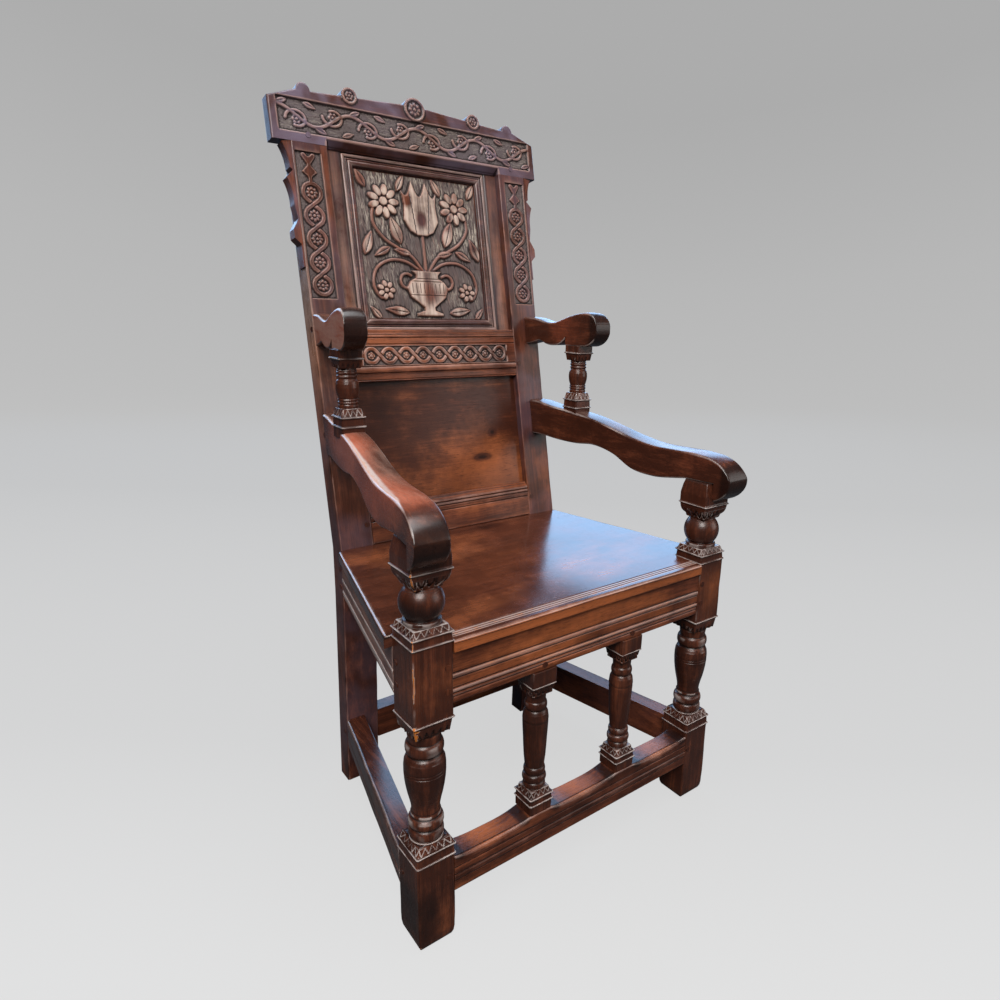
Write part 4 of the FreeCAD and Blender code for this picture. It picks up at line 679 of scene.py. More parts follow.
def armPiece(name, side, way, arm):
    # a box section with rounded corners at each y: its sides follow straight lines in plan, its top and bottom
    # smooth curves through points, and each corner is its own arc; the far end leans with the back
    tip, seat, rise = arm["tip"], arm["seat"], arm["rise"]
    low, high = arm["seatRun"]
    curved = tip + 34 * (1 - np.cos(np.linspace(0.06, math.pi / 2, 34)))
    y = np.unique(np.round(np.concatenate([curved, np.arange(tip + 36, arm["end"], 2.0),
                                           [low - 0.02, low + 0.02, high - 0.02, high + 0.02, arm["end"]]]), 3))

    def line(key, start, reach):
        return throughPoints(y, [start + reach * share for share, _ in arm[key]],
                             [seat + rise * share for _, share in arm[key]])

    top = np.minimum(line("top", tip, arm["reach"]), seat + rise * 1.1)
    bottom = np.where(y < low, line("nose", tip, arm["reach"]),
                      np.where(y < high, seat, line("under", high, arm["underEnd"] - high)))
    run = (y - arm["near"][0]) / (arm["far"][0] - arm["near"][0])
    inner = arm["near"][1] + (arm["far"][1] - arm["near"][1]) * run
    outer = arm["near"][2] + (arm["far"][2] - arm["near"][2]) * run
    fromTip = np.clip(y - tip, 0, arm["pinch"])
    pinch = arm["pinch"] - np.sqrt(np.clip(arm["pinch"] ** 2 - (arm["pinch"] - fromTip) ** 2, 0, None))
    halfWide, halfHigh = (outer - inner) / 2 - pinch, (top - bottom) / 2
    bend = np.linspace(0, math.pi / 2, 8)
    flat = np.linspace(0, 1, 9)[1:-1]
    # one quarter after another: an arc at the corner, then the flat to the next corner
    cornerX, cornerZ, arcX, arcZ, edge = [], [], [], [], []
    for k, (sx, sz) in enumerate(((1, 1), (-1, 1), (-1, -1), (1, -1))):
        angles = bend + k * math.pi / 2
        cornerX += [sx] * len(bend)
        cornerZ += [sz] * len(bend)
        arcX += list(np.cos(angles))
        arcZ += list(np.sin(angles))
        edge += list(np.sin(np.linspace(0, math.pi, len(bend))))
        nx, nz = ((-1, 1), (-1, -1), (1, -1), (1, 1))[k]
        cornerX += list(sx + (nx - sx) * flat)
        cornerZ += list(sz + (nz - sz) * flat)
        arcX += [math.cos(angles[-1])] * len(flat)
        arcZ += [math.sin(angles[-1])] * len(flat)
        edge += [0] * len(flat)
    cornerX, cornerZ, arcX, arcZ = (np.array(v, float)[:, None] for v in (cornerX, cornerZ, arcX, arcZ))
    radius = arm["round"] * (0.8 + 0.5 * lattice(y, cornerX * 3 + cornerZ * 7, 45, 1, 3))
    radius = np.minimum(np.minimum(radius, halfWide * 0.95), halfHigh * 0.95)
    x = (inner + outer) / 2 + cornerX * (halfWide - radius) + arcX * radius
    z = (top + bottom) / 2 + cornerZ * (halfHigh - radius) + arcZ * radius
    crown = np.clip(1 - ((x - (inner + outer) / 2) / np.maximum(halfWide, 1)) ** 2, 0, 1)
    z = z + 1.2 * crown * (arcZ > 0.5) * smooth(0, 12, y - tip) - 0.6
    lean = smooth(arm["end"] - 70, arm["end"], y)
    lowEnd = seat + rise * arm["under"][-1][1]
    yy = y + lean * (z - lowEnd) * math.tan(rake)
    wear = np.array(edge)[:, None] * (0.1 + 0.55 * lattice(yy, z + x, 30, 30, 4) + 0.35 * (cornerX * cornerZ > 0.9))
    # the noses are dark; a thin, pale painted sheen lies on the tops, and the upper left arm's side gets painted light,
    # paler and warmer
    sideFace = (arcX > 0.95) * smooth(0.4, 1.6, y - tip)
    tint = -2.4 * (1 - sideFace) * np.exp(-((y - tip) / 17) ** 2)
    paintedSheen = (arcZ > 0.9) * smooth(35, 80, y - tip) * (0.02 + 0.16 * lattice(yy, x * 1.6, 60, 40, 6))
    if name == "upperArmLeft":
        # painted light on that side face: a warmer tint and more of the pale painted sheen
        tint = tint + 1.8 * sideFace
        paintedSheen = paintedSheen + 0.4 * sideFace
    if name == "lowerArmLeft":
        reach = 5 + 10 * np.exp(-((y + 120) / 100) ** 2)
        # its outer edge is rubbed pale, most where the hand lies
        wear = wear + 1.1 * (arcZ > 0.9) * (1 - smooth(0.4, 1.0, (outer - x) / reach)) * smooth(-250, -215, y)
    wear = wear * smooth(1.0, 9.0, y - tip)
    points = np.stack([way * x, yy, z], -1).reshape(-1, 3)
    index = np.arange(x.size).reshape(x.shape)
    return addPiece(name, points, gridFaces(*x.shape, around=True), wear.reshape(-1), -paintedSheen.reshape(-1), "arm",
                    [arm["node"] + side], [index[::-1, 0], index[:, -1]], tint=tint.reshape(-1))


pair("lowerArm", armPiece, lowerArm)
pair("upperArm", armPiece, upperArm)
print("arms shaped")


# Carving, as heights over a flat plan
def strokeDistance(u, v, line):
    # the distance of each point from a run of short straight pieces
    best = np.full(u.shape, 1e9)
    line = np.asarray(line, float)
    for (u0, v0), (u1, v1) in zip(line[:-1], line[1:]):
        du, dv = u1 - u0, v1 - v0
        share = np.clip(((u - u0) * du + (v - v0) * dv) / (du * du + dv * dv + 1e-9), 0, 1)
        best = np.minimum(best, np.hypot(u - u0 - share * du, v - v0 - share * dv))
    return best


def strap(distance, half, high):
    # a raised band with rounded shoulders
    return high * np.sqrt(np.clip(1 - np.clip(distance / half, 0, 1) ** 3.2, 0, 1))


def rosette(u, v, middle, radius, petals, high, eye=0.28):
    # a round eye within a ring of petals, whose reach and height follow the cosine of petals times the turn
    du, dv = u - middle[0], v - middle[1]
    far = np.hypot(du, dv) / radius
    turn = np.arctan2(dv, du)
    reach = 0.74 + 0.26 * np.abs(np.cos(petals * turn / 2)) ** 0.7
    petal = np.clip((far - eye - 0.05) / (reach - eye - 0.05), 0, 1)
    lift = np.sin(math.pi * petal ** 0.8) ** 0.6 * (0.35 + 0.65 * np.abs(np.cos(petals * turn / 2)) ** 0.5)
    lift = np.where((far < reach) & (far > eye), lift * 0.8, 0)
    return high * np.maximum(lift, np.sqrt(np.clip(1 - (far / eye) ** 2, 0, 1)))


def arc(middle, radius, start, end, count=14):
    # points on a circle, from one direction to another in degrees
    angle = np.radians(np.linspace(start, end, count))
    return np.stack([middle[0] + radius * np.cos(angle), middle[1] + radius * np.sin(angle)], 1)


def linkChain(u, v, first, pitch, count, centre, radius, half, high):
    # two straps that weave round a row of eyes; the falling one lies on top at every crossing
    tilt = math.degrees(math.acos(min(1, 2 * radius / pitch)))
    rounds, falls, rises = [], [], []
    for k in range(count):
        middle = (first + pitch * k, centre)
        leftStart, rightStart = (180 - tilt if k else 180), (tilt if k < count - 1 else 0)
        rounds += [arc(middle, radius, rightStart, leftStart), arc(middle, radius, 360 - rightStart, 360 - leftStart)]
        if k < count - 1:
            away = (middle[0] + pitch, centre)
            c, s = radius * math.cos(math.radians(tilt)), radius * math.sin(math.radians(tilt))
            falls.append([(middle[0] + c, centre + s), (away[0] - c, centre - s)])
            rises.append([(middle[0] + c, centre - s), (away[0] - c, centre + s)])

    def nearest(lines):
        best = np.full(u.shape, 1e9)
        for line in lines:
            line = np.asarray(line)
            near = (np.abs(u - line[:, 0].mean()) < pitch) & (np.abs(v - line[:, 1].mean()) < pitch)
            best[near] = np.minimum(best[near], strokeDistance(u[near], v[near], line))
        return best

    fall, rise, ring = nearest(falls), nearest(rises), nearest(rounds)
    height = np.maximum(strap(fall, half, high), strap(ring, half, high))
    return np.maximum(height, strap(rise, half, high) * smooth(half, half + 1.4, fall))


def punched(u, v, seed):
    # a ground covered with small punch marks: fine noise cut off below and above, over a coarser one
    fine = lattice(u, v, 1.5, 1.5, seed)
    return 0.55 * smooth(0.35, 0.75, fine) + 0.35 * lattice(u, v, 4.5, 3.5, seed + 1)


def carvedGround(u, v, relief, depth, seed):
    # the height over the plan and the share of bare ground: relief stands on a sunk, punched ground
    bare = 1 - smooth(0.05, 0.5, relief)
    return -depth + np.maximum(relief, 0) - bare * punched(u, v, seed) * 0.6, bare


def swell(u, v, seed, size=60.0, high=0.35):
    # the gentle waves of a hand-planed board
    return high * (lattice(u, v, size, size * 0.6, seed) - 0.5)


# line: the crest's outline over its foot; rounds: (place, radius, height) of its knobs, small and large roundels
crest = dict(half=261.0, low=676.5, deep=24.0, bandHalf=248.0, band=(692.0, 745.0), sink=2.0, chamfer=12.0,
             line=((0, 94.5), (27.9, 94.5), (69.9, 91.4), (122.5, 88.5), (181.9, 84.5), (211.9, 84.5), (246.9, 71.5),
                   (261.0, 66.5)),
             rounds=((200.95, 10.98, 85.34), (122.5, 14.0, 88.5), (0, 20.5, 88.5)), bay=62.0, bays=8, wave=14.0)


def crestTop(x, crest):
    # the outline's height: straight runs between points, with a half circle over each knob and roundel
    far = np.abs(x)
    heights = [np.interp(far, [at for at, _ in crest["line"]], [high for _, high in crest["line"]])]
    for middle, radius, centre in crest["rounds"]:
        near = np.abs(far - middle)
        heights.append(np.where(near < radius - 0.09, centre + np.sqrt(np.clip(radius ** 2 - near ** 2, 0, None)), 0))
    return crest["low"] + np.maximum.reduce(heights)


def leafEdge(u, v, x, z, long, wide, turn):
    # how far inside a pointed leaf each point lies, and how far from its rib: the half width times 1 - a^2, a bit
    # fuller at the stalk, where a runs from -1 to 1 along it; given are its middle, half sizes and direction
    angle = math.radians(turn)
    a = ((u - x) * math.cos(angle) + (v - z) * math.sin(angle)) / long
    b = (v - z) * math.cos(angle) - (u - x) * math.sin(angle)
    return wide * np.clip(1 - a ** 2, -1, 1) * np.clip(1 - 0.35 * a, 0.3, 1.6) - np.abs(b), np.abs(b)


def mass(edge, high, shoulder):
    # a flat top with rounded shoulders
    return high * np.sqrt(np.clip(1 - (1 - np.clip(edge / shoulder, 0, 1)) ** 2, 0, 1))


def crestRelief(u, v, crest):
    # a running stem with a curled shoot, a bud and two leaves in each of its bays
    low, high = crest["band"]
    middle = (low + high) / 2
    bay, count = crest["bay"], crest["bays"]
    stem = np.linspace(-crest["bandHalf"] + 2, crest["bandHalf"] - 2, 260)
    wave = middle + crest["wave"] * np.cos(math.pi * (stem + bay * count / 2) / bay)
    relief = strap(strokeDistance(u, v, np.stack([stem, wave], 1)), 3.1, 2.3)
    for k in range(count):
        across = -bay * (count - 1) / 2 + bay * k
        up = 1 if k % 2 else -1
        eye = (across, middle + up * 6.0)
        near = np.abs(u - across) < bay
        uu, vv = u[near], v[near]
        turn = np.linspace(0, 1, 30)
        angle, reach = math.pi * (1 - turn * 1.6), 18.0 - turn * 5.5
        curl = np.stack([eye[0] + reach * np.cos(angle), eye[1] - up * reach * np.sin(angle) * 0.84], 1)
        lift = strap(strokeDistance(uu, vv, curl), 2.6, 2.1)
        lift = np.maximum(lift, rosette(uu, vv, eye, 9.0, 6, 2.4, 0.34))
        for side in (-1, 1):
            edge, rib = leafEdge(uu, vv, across + side * 24, middle - up * 18.5, 12, 4.6, 90 - side * (90 - up * 20))
            lift = np.maximum(lift, mass(edge, 2.1, 1.8) * (1 - 0.4 * (rib < 0.5)))
        relief[near] = np.maximum(relief[near], lift)
    return relief


def crestPiece(crest):
    # depth over a plan whose rows spread from the foot to the outline: rounded edges, then the sunk band's carving
    # and the roundels' rings and flowers in place of the plain face
    half, low = crest["half"], crest["low"]
    u, t = gridOf([stops((-half, half, 0.95)), rim(-half, half, 3.0)],
                  [np.linspace(0, 1, 100), [0.004, 0.01, 0.02, 0.98, 0.99, 0.996]])
    top = crestTop(u, crest)
    # grid lines run level up to the band's top, then bend to the outline
    level = low + 70.0
    limit = np.minimum(level, top - 3)
    v = np.where(t < 0.78, low + (limit - low) * t / 0.78, limit + (top - limit) * (t - 0.78) / 0.22)
    edge = 2.6 + 1.2 * lattice(u, v, 40, 40, 8)
    fall = roundOver(np.minimum(u + half, half - u), np.minimum(top - v, v - low + 3), edge)
    d = -fall + swell(u, v, 11)
    bandLow, bandHigh = crest["band"]
    inside = (smooth(0, 1.0, u + crest["bandHalf"]) * smooth(0, 1.0, crest["bandHalf"] - u)
              * smooth(0, 1.0, v - bandLow) * smooth(0, 1.0, bandHigh - v))
    relief = crestRelief(u, v, crest)
    sunk, bare = carvedGround(u, v, relief, crest["sink"] + 0.9, 21)
    d = d * (1 - inside) + inside * sunk
    ground = inside * bare
    under = (np.abs(u) < 171) * np.clip(crest["chamfer"] - (v - low), 0, None)
    d = d - under * 0.95
    _, (smallAt, smallRadius, up), (largeAt, largeRadius, _) = crest["rounds"]
    for middle, radius, petals in ((largeAt, largeRadius, 8), (smallAt, smallRadius, 6), (-smallAt, smallRadius, 6)):
        far = np.hypot(u - middle, v - low - up)
        ring = strap(np.abs(far - radius + 2.6), 2.4, 2.0)
        flower = rosette(u, v, (middle, low + up), radius * 0.62, petals, 2.3)
        d = np.where(far < radius, 0.2 + np.maximum(ring, flower), d)
    return slab("crest", u, v, d, -crest["deep"], onBack, "crest", ["crest_rail"], ground)


crestPiece(crest)
print("crest carved")


# Stiles of the back, each with a carved strip; chain: the straps' ring, half width and height; flower: its radius,
# petals, height and eye
stile = dict(inner=171.0, outer=232.0, deep=36.0, high=676.5, strip=(184.0, 228.0), stripUp=(426.0, 663.0), sink=2.5,
             knee=383.0, splay=18.0, eyes=(448.0, 485.5, 523.5, 561.0, 598.0), chain=(14.8, 3.6, 2.6),
             flower=(10.4, 8, 2.3, 0.3))


def stilePlace(way):
    # s runs up the stile from the seat's top: it leans above there, stands upright below, and splays under the knee
    def place(x, s, out):
        lean = rake * smooth(-7, 7, s)
        z = back["seat"] + np.where(s > 0, s * math.cos(rake), s) + out * np.sin(lean)
        foot = np.clip(stile["knee"] - (back["seat"] + s), 0, None) / stile["knee"] * stile["splay"]
        y = back["face"] + np.where(s > 0, s * math.sin(rake), 0) + foot - out * np.cos(lean)
        return np.stack(np.broadcast_arrays(way * x, y, z), -1)
    return place


def finial(u, v, middle, low, high):
    # a stem with a pair of drooping leaves and a forked leaf above them
    t = (v - low) / (high - low)
    half = np.interp(t, [0, 0.16, 0.22, 0.34, 0.38, 0.56, 0.62, 0.86, 0.93, 1.0],
                     [4.2, 4.0, 6.0, 13.5, 12.5, 4.6, 4.6, 12.6, 13.0, 9.0])
    notch = np.clip((t - 0.86) * 42, 0, 6)
    edge = np.minimum(half - np.abs(u - middle), np.abs(u - middle) - notch + 2.0 * (t < 0.86) * 9)
    edge = np.minimum(edge, high - v)
    return 2.3 * smooth(0, 2.4, edge) * (t > -0.02) * (t < 1)


def stilePiece(name, side, way, stile):
    # depth over its width and length: rounded edges, and in the sunk strip a chain of straps round flowers and a
    # finial; way mirrors the chain
    a, b = stile["inner"], stile["outer"]
    left, right = stile["strip"]
    low, high = stile["stripUp"]
    foot, top = -back["seat"], stile["high"]
    u, v = gridOf([stops((a, b, 3.0), (left - 1.5, right + 1.5, 0.85)), rim(a, b, 2.2)],
                  [stops((foot, 0, 9.0), (-12, 12, 2.0), (0, top, 7.0), (low - 1.5, high + 1.5, 0.85)),
                   rim(foot, top, 2.0)])
    edge = 1.8 + 2.4 * lattice(u * 0.2 + way * 40, v, 20, 28, 13) ** 2
    d = -roundOver(np.minimum(u - a, b - u), v - foot, edge) + swell(u, v, 14 + way)
    inside = (smooth(0, 0.8, u - left) * smooth(0, 0.8, right - u) * smooth(0, 0.8, v - low)
              * smooth(0, 0.8, high - v))
    middle = (left + right) / 2
    eyes = stile["eyes"]
    pitch = (eyes[-1] - eyes[0]) / (len(eyes) - 1)
    mirrored = (u - middle) * way
    relief = linkChain(-v, mirrored, -eyes[-1], pitch, len(eyes), 0.0, *stile["chain"])
    for eye in eyes:
        relief = np.maximum(relief, rosette(u, v, (middle, eye), *stile["flower"]))
    relief = np.maximum(relief, finial(u, v, middle, eyes[-1] + 16, high - 1))
    sunk, bare = carvedGround(u, v, relief, stile["sink"] + 0.3, 31 + way)
    d = d * (1 - inside) + inside * sunk
    # a line scratched beside the upper panel
    line = (v > 300) * 0.8 * np.clip(1 - np.abs(u - (a + 5.5)) / 0.9, 0, 1)
    return slab(name, u, v, d - line, -stile["deep"], stilePlace(way), "stile", ["rear_stile_" + side],
                inside * bare, bent=True)


pair("stile", stilePiece, stile)
print("stiles carved")


# Boards and rails between the uprights
def faceAt(yFront):
    # x and z as given, and y from a plane that faces the sitter's front
    def place(x, z, out):
        return np.stack(np.broadcast_arrays(x, yFront - out, z), -1)
    return place


midRail = dict(half=171.0, low=285.0, high=376.0, deep=30.0, band=(313.0, 347.0), trench=151.0, links=9, pitch=33.7,
               chain=(12.6, 3.5, 2.7), flower=(6.6, 5, 2.2, 0.55),
               grooves=((367, 1.1, 1.2), (361.6, 1.2, 1.5), (350, 1.0, 1.2), (311.2, 1.0, 1.4), (299.5, 1.2, 1.5),
                        (287.8, 0.9, 0.9)),
               beads=((364.3, 2.4, 0.8), (305.4, 5.2, 0.9)))


def midRailPiece(rail):
    # a moulded rail whose sunk band holds a chain of straps round small flowers
    half = rail["half"]
    u, v = gridOf([stops((-half, half, 0.95)), rim(-half, half, 1.0)],
                  [stops((rail["low"], rail["high"], 1.2), (311.5, 348.5, 0.8)),
                   *[np.linspace(at - 1.6, at + 1.6, 9) for at in (367, 361.6, 350, 312.5, 299.5, 287.4)],
                   rim(rail["low"], rail["high"], 1.6)])
    d = boardEnds(u, v, half, rail["low"], rail["high"], 1.8) + swell(u, v, 41) * 0.6
    d = d - grooves(v, rail["grooves"]) + beads(v, rail["beads"]) - 1.4 * smooth(367, 371, v)
    d = d - 1.2 * smooth(299.5, 297.5, v)
    low, high = rail["band"]
    inside = smooth(0, 0.8, rail["trench"] - np.abs(u)) * smooth(0, 0.8, v - low) * smooth(0, 0.8, high - v)
    first = -rail["pitch"] * (rail["links"] - 1) / 2
    centre = (low + high) / 2
    relief = linkChain(u, v, first, rail["pitch"], rail["links"], centre, *rail["chain"])
    for k in range(rail["links"]):
        relief = np.maximum(relief, rosette(u, v, (first + k * rail["pitch"], centre), *rail["flower"]))
    sunk, bare = carvedGround(u, v, relief, 2.6, 43)
    d = d * (1 - inside) + inside * sunk
    return slab("midRail", u, v, d, -rail["deep"], onBack, "level", ["mid_rail"], inside * bare)


midRailPiece(midRail)

lowerBackRail = dict(half=171.0, low=6.0, high=68.0, deep=30.0, plain=36.0, beads=((51.3, 2.4, 0.6),),
                     grooves=((39.5, 1.2, 1.6), (48.0, 1.1, 1.4), (54.5, 1.1, 1.4)))


def lowerBackRailPiece(rail):
    # a rail moulded above its plain foot, with a chamfer under the panel
    half, low, high = rail["half"], rail["low"], rail["high"]
    u, v = gridOf([stops((-half, half, 3.5)), rim(-half, half, 1.0)],
                  [stops((low, rail["plain"], 3.0), (rail["plain"], high, 0.8)), rim(low, high, 2.0)])
    d = boardEnds(u, v, half, low, high, 1.8) + swell(u, v, 51)
    d = d - grooves(v, rail["grooves"]) + beads(v, rail["beads"]) - 6.5 * smooth(57, 69, v)

    def place(u, v, out):
        # the underside is planed level, to sit on the seat
        drop = 5.6 * np.clip(1 + out / rail["deep"], 0, 1) * np.clip((rail["plain"] - v) / 30, 0, 1)
        return onBack(u, v - drop, out)

    return slab("lowerBackRail", u, v, d, -rail["deep"], place, "level", ["lower_back_rail"])


lowerBackRailPiece(lowerBackRail)


lowerPanel = dict(half=177.8, low=61.2, high=291.8, face=-14.0, thick=8.0)


def lowerPanelPiece(panel):
    # a plain board with gentle waves
    u, v = gridOf(stops((-panel["half"], panel["half"], 4.0)), stops((panel["low"], panel["high"], 4.0)))
    return slab("lowerPanel", u, v, panel["face"] + swell(u, v, 61, 90, 0.7), panel["face"] - panel["thick"], onBack,
                "panel", ["lower_panel"])


lowerPanelPiece(lowerPanel)


def rubbedAndGlintLines(v, places, width):
    # pale lines on the crests of a moulding, rubbed polish and painted highlight together: a bell about each height
    return sum(0.9 * np.exp(-((v - at) / width) ** 2) for at in places)


frontRail = dict(half=242.0, low=376.0, high=452.5, face=-266.57, deep=28.0, rubs=(418.4, 396.8, 387.4),
                 grooves=((386, 1.2, 1.5), (391.5, 1.0, 1.3), (398.6, 1.2, 1.6), (412.5, 1.2, 1.6), (420.6, 1.1, 1.5)),
                 beads=((395, 3.0, 1.0), (416.5, 3.4, 1.0)))


def frontRailPiece(rail):
    # a rail with two beads between grooves
    half, low, high = rail["half"], rail["low"], rail["high"]
    u, v = gridOf([stops((-half, half, 3.5)), rim(-half, half, 1.0)], [stops((low, high, 0.9)), rim(low, high, 2.5)])
    d = boardEnds(u, v, half, low, high + 4, 2.6) + swell(u, v, 71)
    d = d - grooves(v, rail["grooves"]) + beads(v, rail["beads"])
    return slab("frontRail", u, v, d, -rail["deep"], faceAt(rail["face"]), "level", ["front_seat_rail"],
                rubs=rubbedAndGlintLines(v, rail["rubs"], 1.1) * lattice(u, v, 70, 30, 73))


frontRailPiece(frontRail)


def sidePlace(way, near, far):
    # a rail that runs back along a side: u from 0 at the front post to 1 at the stile, out is away from the chair
    def place(u, z, out):
        x = near[0] + (far[0] - near[0]) * u
        y = near[1] + (far[1] - near[1]) * u
        return np.stack(np.broadcast_arrays(way * (x + out), y, z), -1)
    return place


sideRail = dict(low=383.0, high=452.5, long=344.0, near=(300.0, -210.57), far=(232.0, 126.43), back=-24.8, inset=0.2,
                grooves=((391.5, 1.0, 1.3), (398.6, 1.2, 1.6), (412.5, 1.2, 1.6), (420.6, 1.1, 1.5)),
                beads=((395, 3.0, 0.9), (416.5, 3.4, 0.9)), rubs=(418.4, 396.8, 390.0))


def sideRailPiece(name, side, way, rail):
    # the front rail's moulding, carried along a side
    low, high = rail["low"], rail["high"]
    u, v = gridOf(np.linspace(0, 1, 110), [stops((low, high, 0.9)), rim(low, high, 2.5)])
    d = boardEnds(0 * u, v, 0, low, high + 4, 2.6) + swell(u * rail["long"], v, 81 + way) - rail["inset"]
    d = d - grooves(v, rail["grooves"]) + beads(v, rail["beads"])
    return slab(name, u, v, d, rail["back"], sidePlace(way, rail["near"], rail["far"]), "side",
                ["side_seat_rail_" + side], rubs=rubbedAndGlintLines(v, rail["rubs"], 1.2))


pair("sideRail", sideRailPiece, sideRail)

sideStretcher = dict(low=76.0, high=134.0, long=340.0, near=(300.0, -210.57), far=(232.0, 139.5), back=-33.8,
                     inset=0.3, grooves=((127, 1.0, 1.2), (97, 1.1, 1.3)), finish=dict(left="low", right="side"))


def sideStretcherPiece(name, side, way, rail):
    # a plain rail with two scratched lines and unevenly worn edges
    low, high = rail["low"], rail["high"]
    u, v = gridOf(np.linspace(0, 1, 110), [stops((low, high, 0.9)), rim(low, high, 4.0)])
    edge = 3.0 + 2.5 * lattice(u * rail["long"], v, 40, 60, 91)
    d = boardEnds(0 * u, v, 0, low, high, edge) + swell(u * rail["long"], v, 92 + way) - rail["inset"]
    return slab(name, u, v, d - grooves(v, rail["grooves"]), rail["back"], sidePlace(way, rail["near"], rail["far"]),
                rail["finish"][side], ["side_stretcher_" + side])


pair("sideStretcher", sideStretcherPiece, sideStretcher)

frontStretcher = dict(half=242.0, low=76.0, high=134.0, face=-268.57, deep=38.0, worn=7.0, beads=((98.5, 4.2, 0.7),),
                      grooves=((93.5, 1.0, 1.4), (103.6, 1.1, 1.4), (115.4, 1.1, 1.4)),
                      hollows=((-175.5, 65), (0, 67), (175.5, 65)))


def scoop(x, hollows):
    # the top's hollows, worn by feet, between the posts and the spindles: 1 less the cube of the way out from each
    return np.maximum.reduce([np.clip(1 - np.abs((x - middle) / half) ** 3, 0, 1) for middle, half in hollows])


def frontStretcherPiece(rail):
    # a moulded rail whose rows spread between its foot and the scooped top
    half, low = rail["half"], rail["low"]
    u, t = gridOf([stops((-half, half, 2.5)), rim(-half, half, 1.0)],
                  [np.linspace(0, 1, 64), [0.004, 0.012, 0.03, 0.06, 0.94, 0.965, 0.985, 0.996]])
    hollow = scoop(u, rail["hollows"])
    top = rail["high"] - hollow * rail["worn"] * (0.85 + 0.3 * lattice(u, t, 60, 9, 95))
    v = low + (top - low) * t
    edge = np.where(t > 0.5, 3.0 + 5.0 * hollow, 3.0)
    d = boardEnds(u, v, half, low, top, edge) + swell(u, v, 96) - grooves(v, rail["grooves"]) + beads(v, rail["beads"])
    return slab("frontStretcher", u, v, d, -rail["deep"], faceAt(rail["face"]), "level", ["front_stretcher"])


frontStretcherPiece(frontStretcher)
print("rails and stretchers moulded")

seat = dict(top=470.0, thick=17.5, front=-271.57, notch=-210.4, sideStart=310.6, sideEnd=236.8, back=126.3,
            tongue=154.2, tongueHalf=170.7, betweenPosts=241.7, inset=0.3, reeds=(11.2, 16.5, 22.0),
            grooves=((13.7, 1.3, 1.6), (19.2, 1.3, 1.6), (24.6, 1.1, 1.2)))


def seatPiece(seat):
    # the width at each y is that between the posts, then the tapering sides', then the tongue's; the front is reeded
    front, notch, back = seat["front"], seat["notch"], seat["back"]
    bend = 4.5 * (1 - np.cos(np.linspace(0, math.pi / 2, 6))) / 290
    t, y = gridOf([np.linspace(-1, 1, 170), -1 + bend, 1 - bend],
                  [np.linspace(front, notch - 0.2, 60), front + np.linspace(9, 26, 30),
                   front + np.array([0.4, 1.0, 2.0, 3.2, 4.6, 6.0]), np.linspace(notch, back, 120),
                   np.linspace(back + 0.2, seat["tongue"], 8)])
    tapering = (y > notch - 0.1) & (y < back + 0.1)
    half = np.where(tapering, np.interp(y, [notch, back], [seat["sideStart"], seat["sideEnd"]]),
                    np.where(y < notch, seat["betweenPosts"], seat["tongueHalf"]))
    x = t * half
    fromSide = np.where(tapering, half - np.abs(x), 9)
    edge = 3.6 + 1.6 * lattice(x, y, 50, 50, 101)
    ahead = y - front
    d = -roundOver(fromSide, ahead, edge) + swell(x, y, 102, 120, 0.9) - grooves(ahead, seat["grooves"])

    def place(u, v, out):
        return np.stack(np.broadcast_arrays(u, v, seat["top"] - seat["inset"] + out), -1)

    # pale lines along the reeds' crests: rubbed polish and painted highlight together
    reeds = 0.9 * sum(np.clip(1.3 - np.abs(ahead - at) / 1.5, 0, 1) for at in seat["reeds"])
    return slab("seatBoard", x, y, d, -seat["thick"] + seat["inset"], place, "seat", ["seat_board"],
                bent=True, rubs=reeds)


seatPiece(seat)
print("seat board shaped")


# Upper panel: its plain margins, its moulded frame and its carved field
upperPanel = dict(half=177.8, low=369.2, high=683.3, margin=-14.0, fieldHalf=144.0, sink=-20.0, thick=14.0,
                  carved=(122, 398, 654))
# Of the vase: the curves of its stems, its flowers as (place, radius, petals), and its leaves as (x, z, half length,
# half width, direction), all for the right half
vase = dict(
    low=402, high=486, body=((0, 28), (0.07, 28), (0.13, 12), (0.2, 12), (0.42, 37), (0.62, 44), (0.76, 36),
                             (0.84, 24), (0.9, 24), (1.0, 32)),
    stem=((6, 484), (26, 510), (52, 524), (78, 540), (96, 566), (92, 594), (76, 604)),
    shoot=((10, 484), (38, 500), (70, 502), (98, 486), (107, 458), (96, 436), (82, 438)),
    flowers=(((84, 448), 18, 7), ((72, 604), 31, 9)),
    leaves=((54, 556, 27, 11, 70), (109, 530, 24, 9, 112), (44, 518, 18, 6.5, 12), (84, 516, 19, 7, -28),
            (112, 640, 18, 7.5, 62), (36, 640, 19, 7, 118), (66, 412, 25, 8.5, 8), (108, 408, 16, 6, 50)),
    cupLow=548, cupHigh=646, cup=((0, 8), (0.08, 24), (0.28, 36), (0.55, 33), (0.8, 36), (1.0, 42)),
)


def flowerEdge(u, v, middle, radius, petals):
    # how far inside the nearest of a ring of petals each point lies
    du, dv = u - middle[0], v - middle[1]
    sector = 2 * math.pi / petals
    turn = (np.arctan2(dv, du) + sector / 2) % sector - sector / 2
    a, b = np.hypot(du, dv) * np.cos(turn) - radius * 0.64, np.hypot(du, dv) * np.sin(turn)
    half = radius * 0.62 * math.sin(sector / 2)
    return half * (1 - np.hypot(a / (radius * 0.36), b / half))


def widthAt(t, rows):
    # straight between the rows (share of the height, half width)
    return np.interp(t, *zip(*rows))


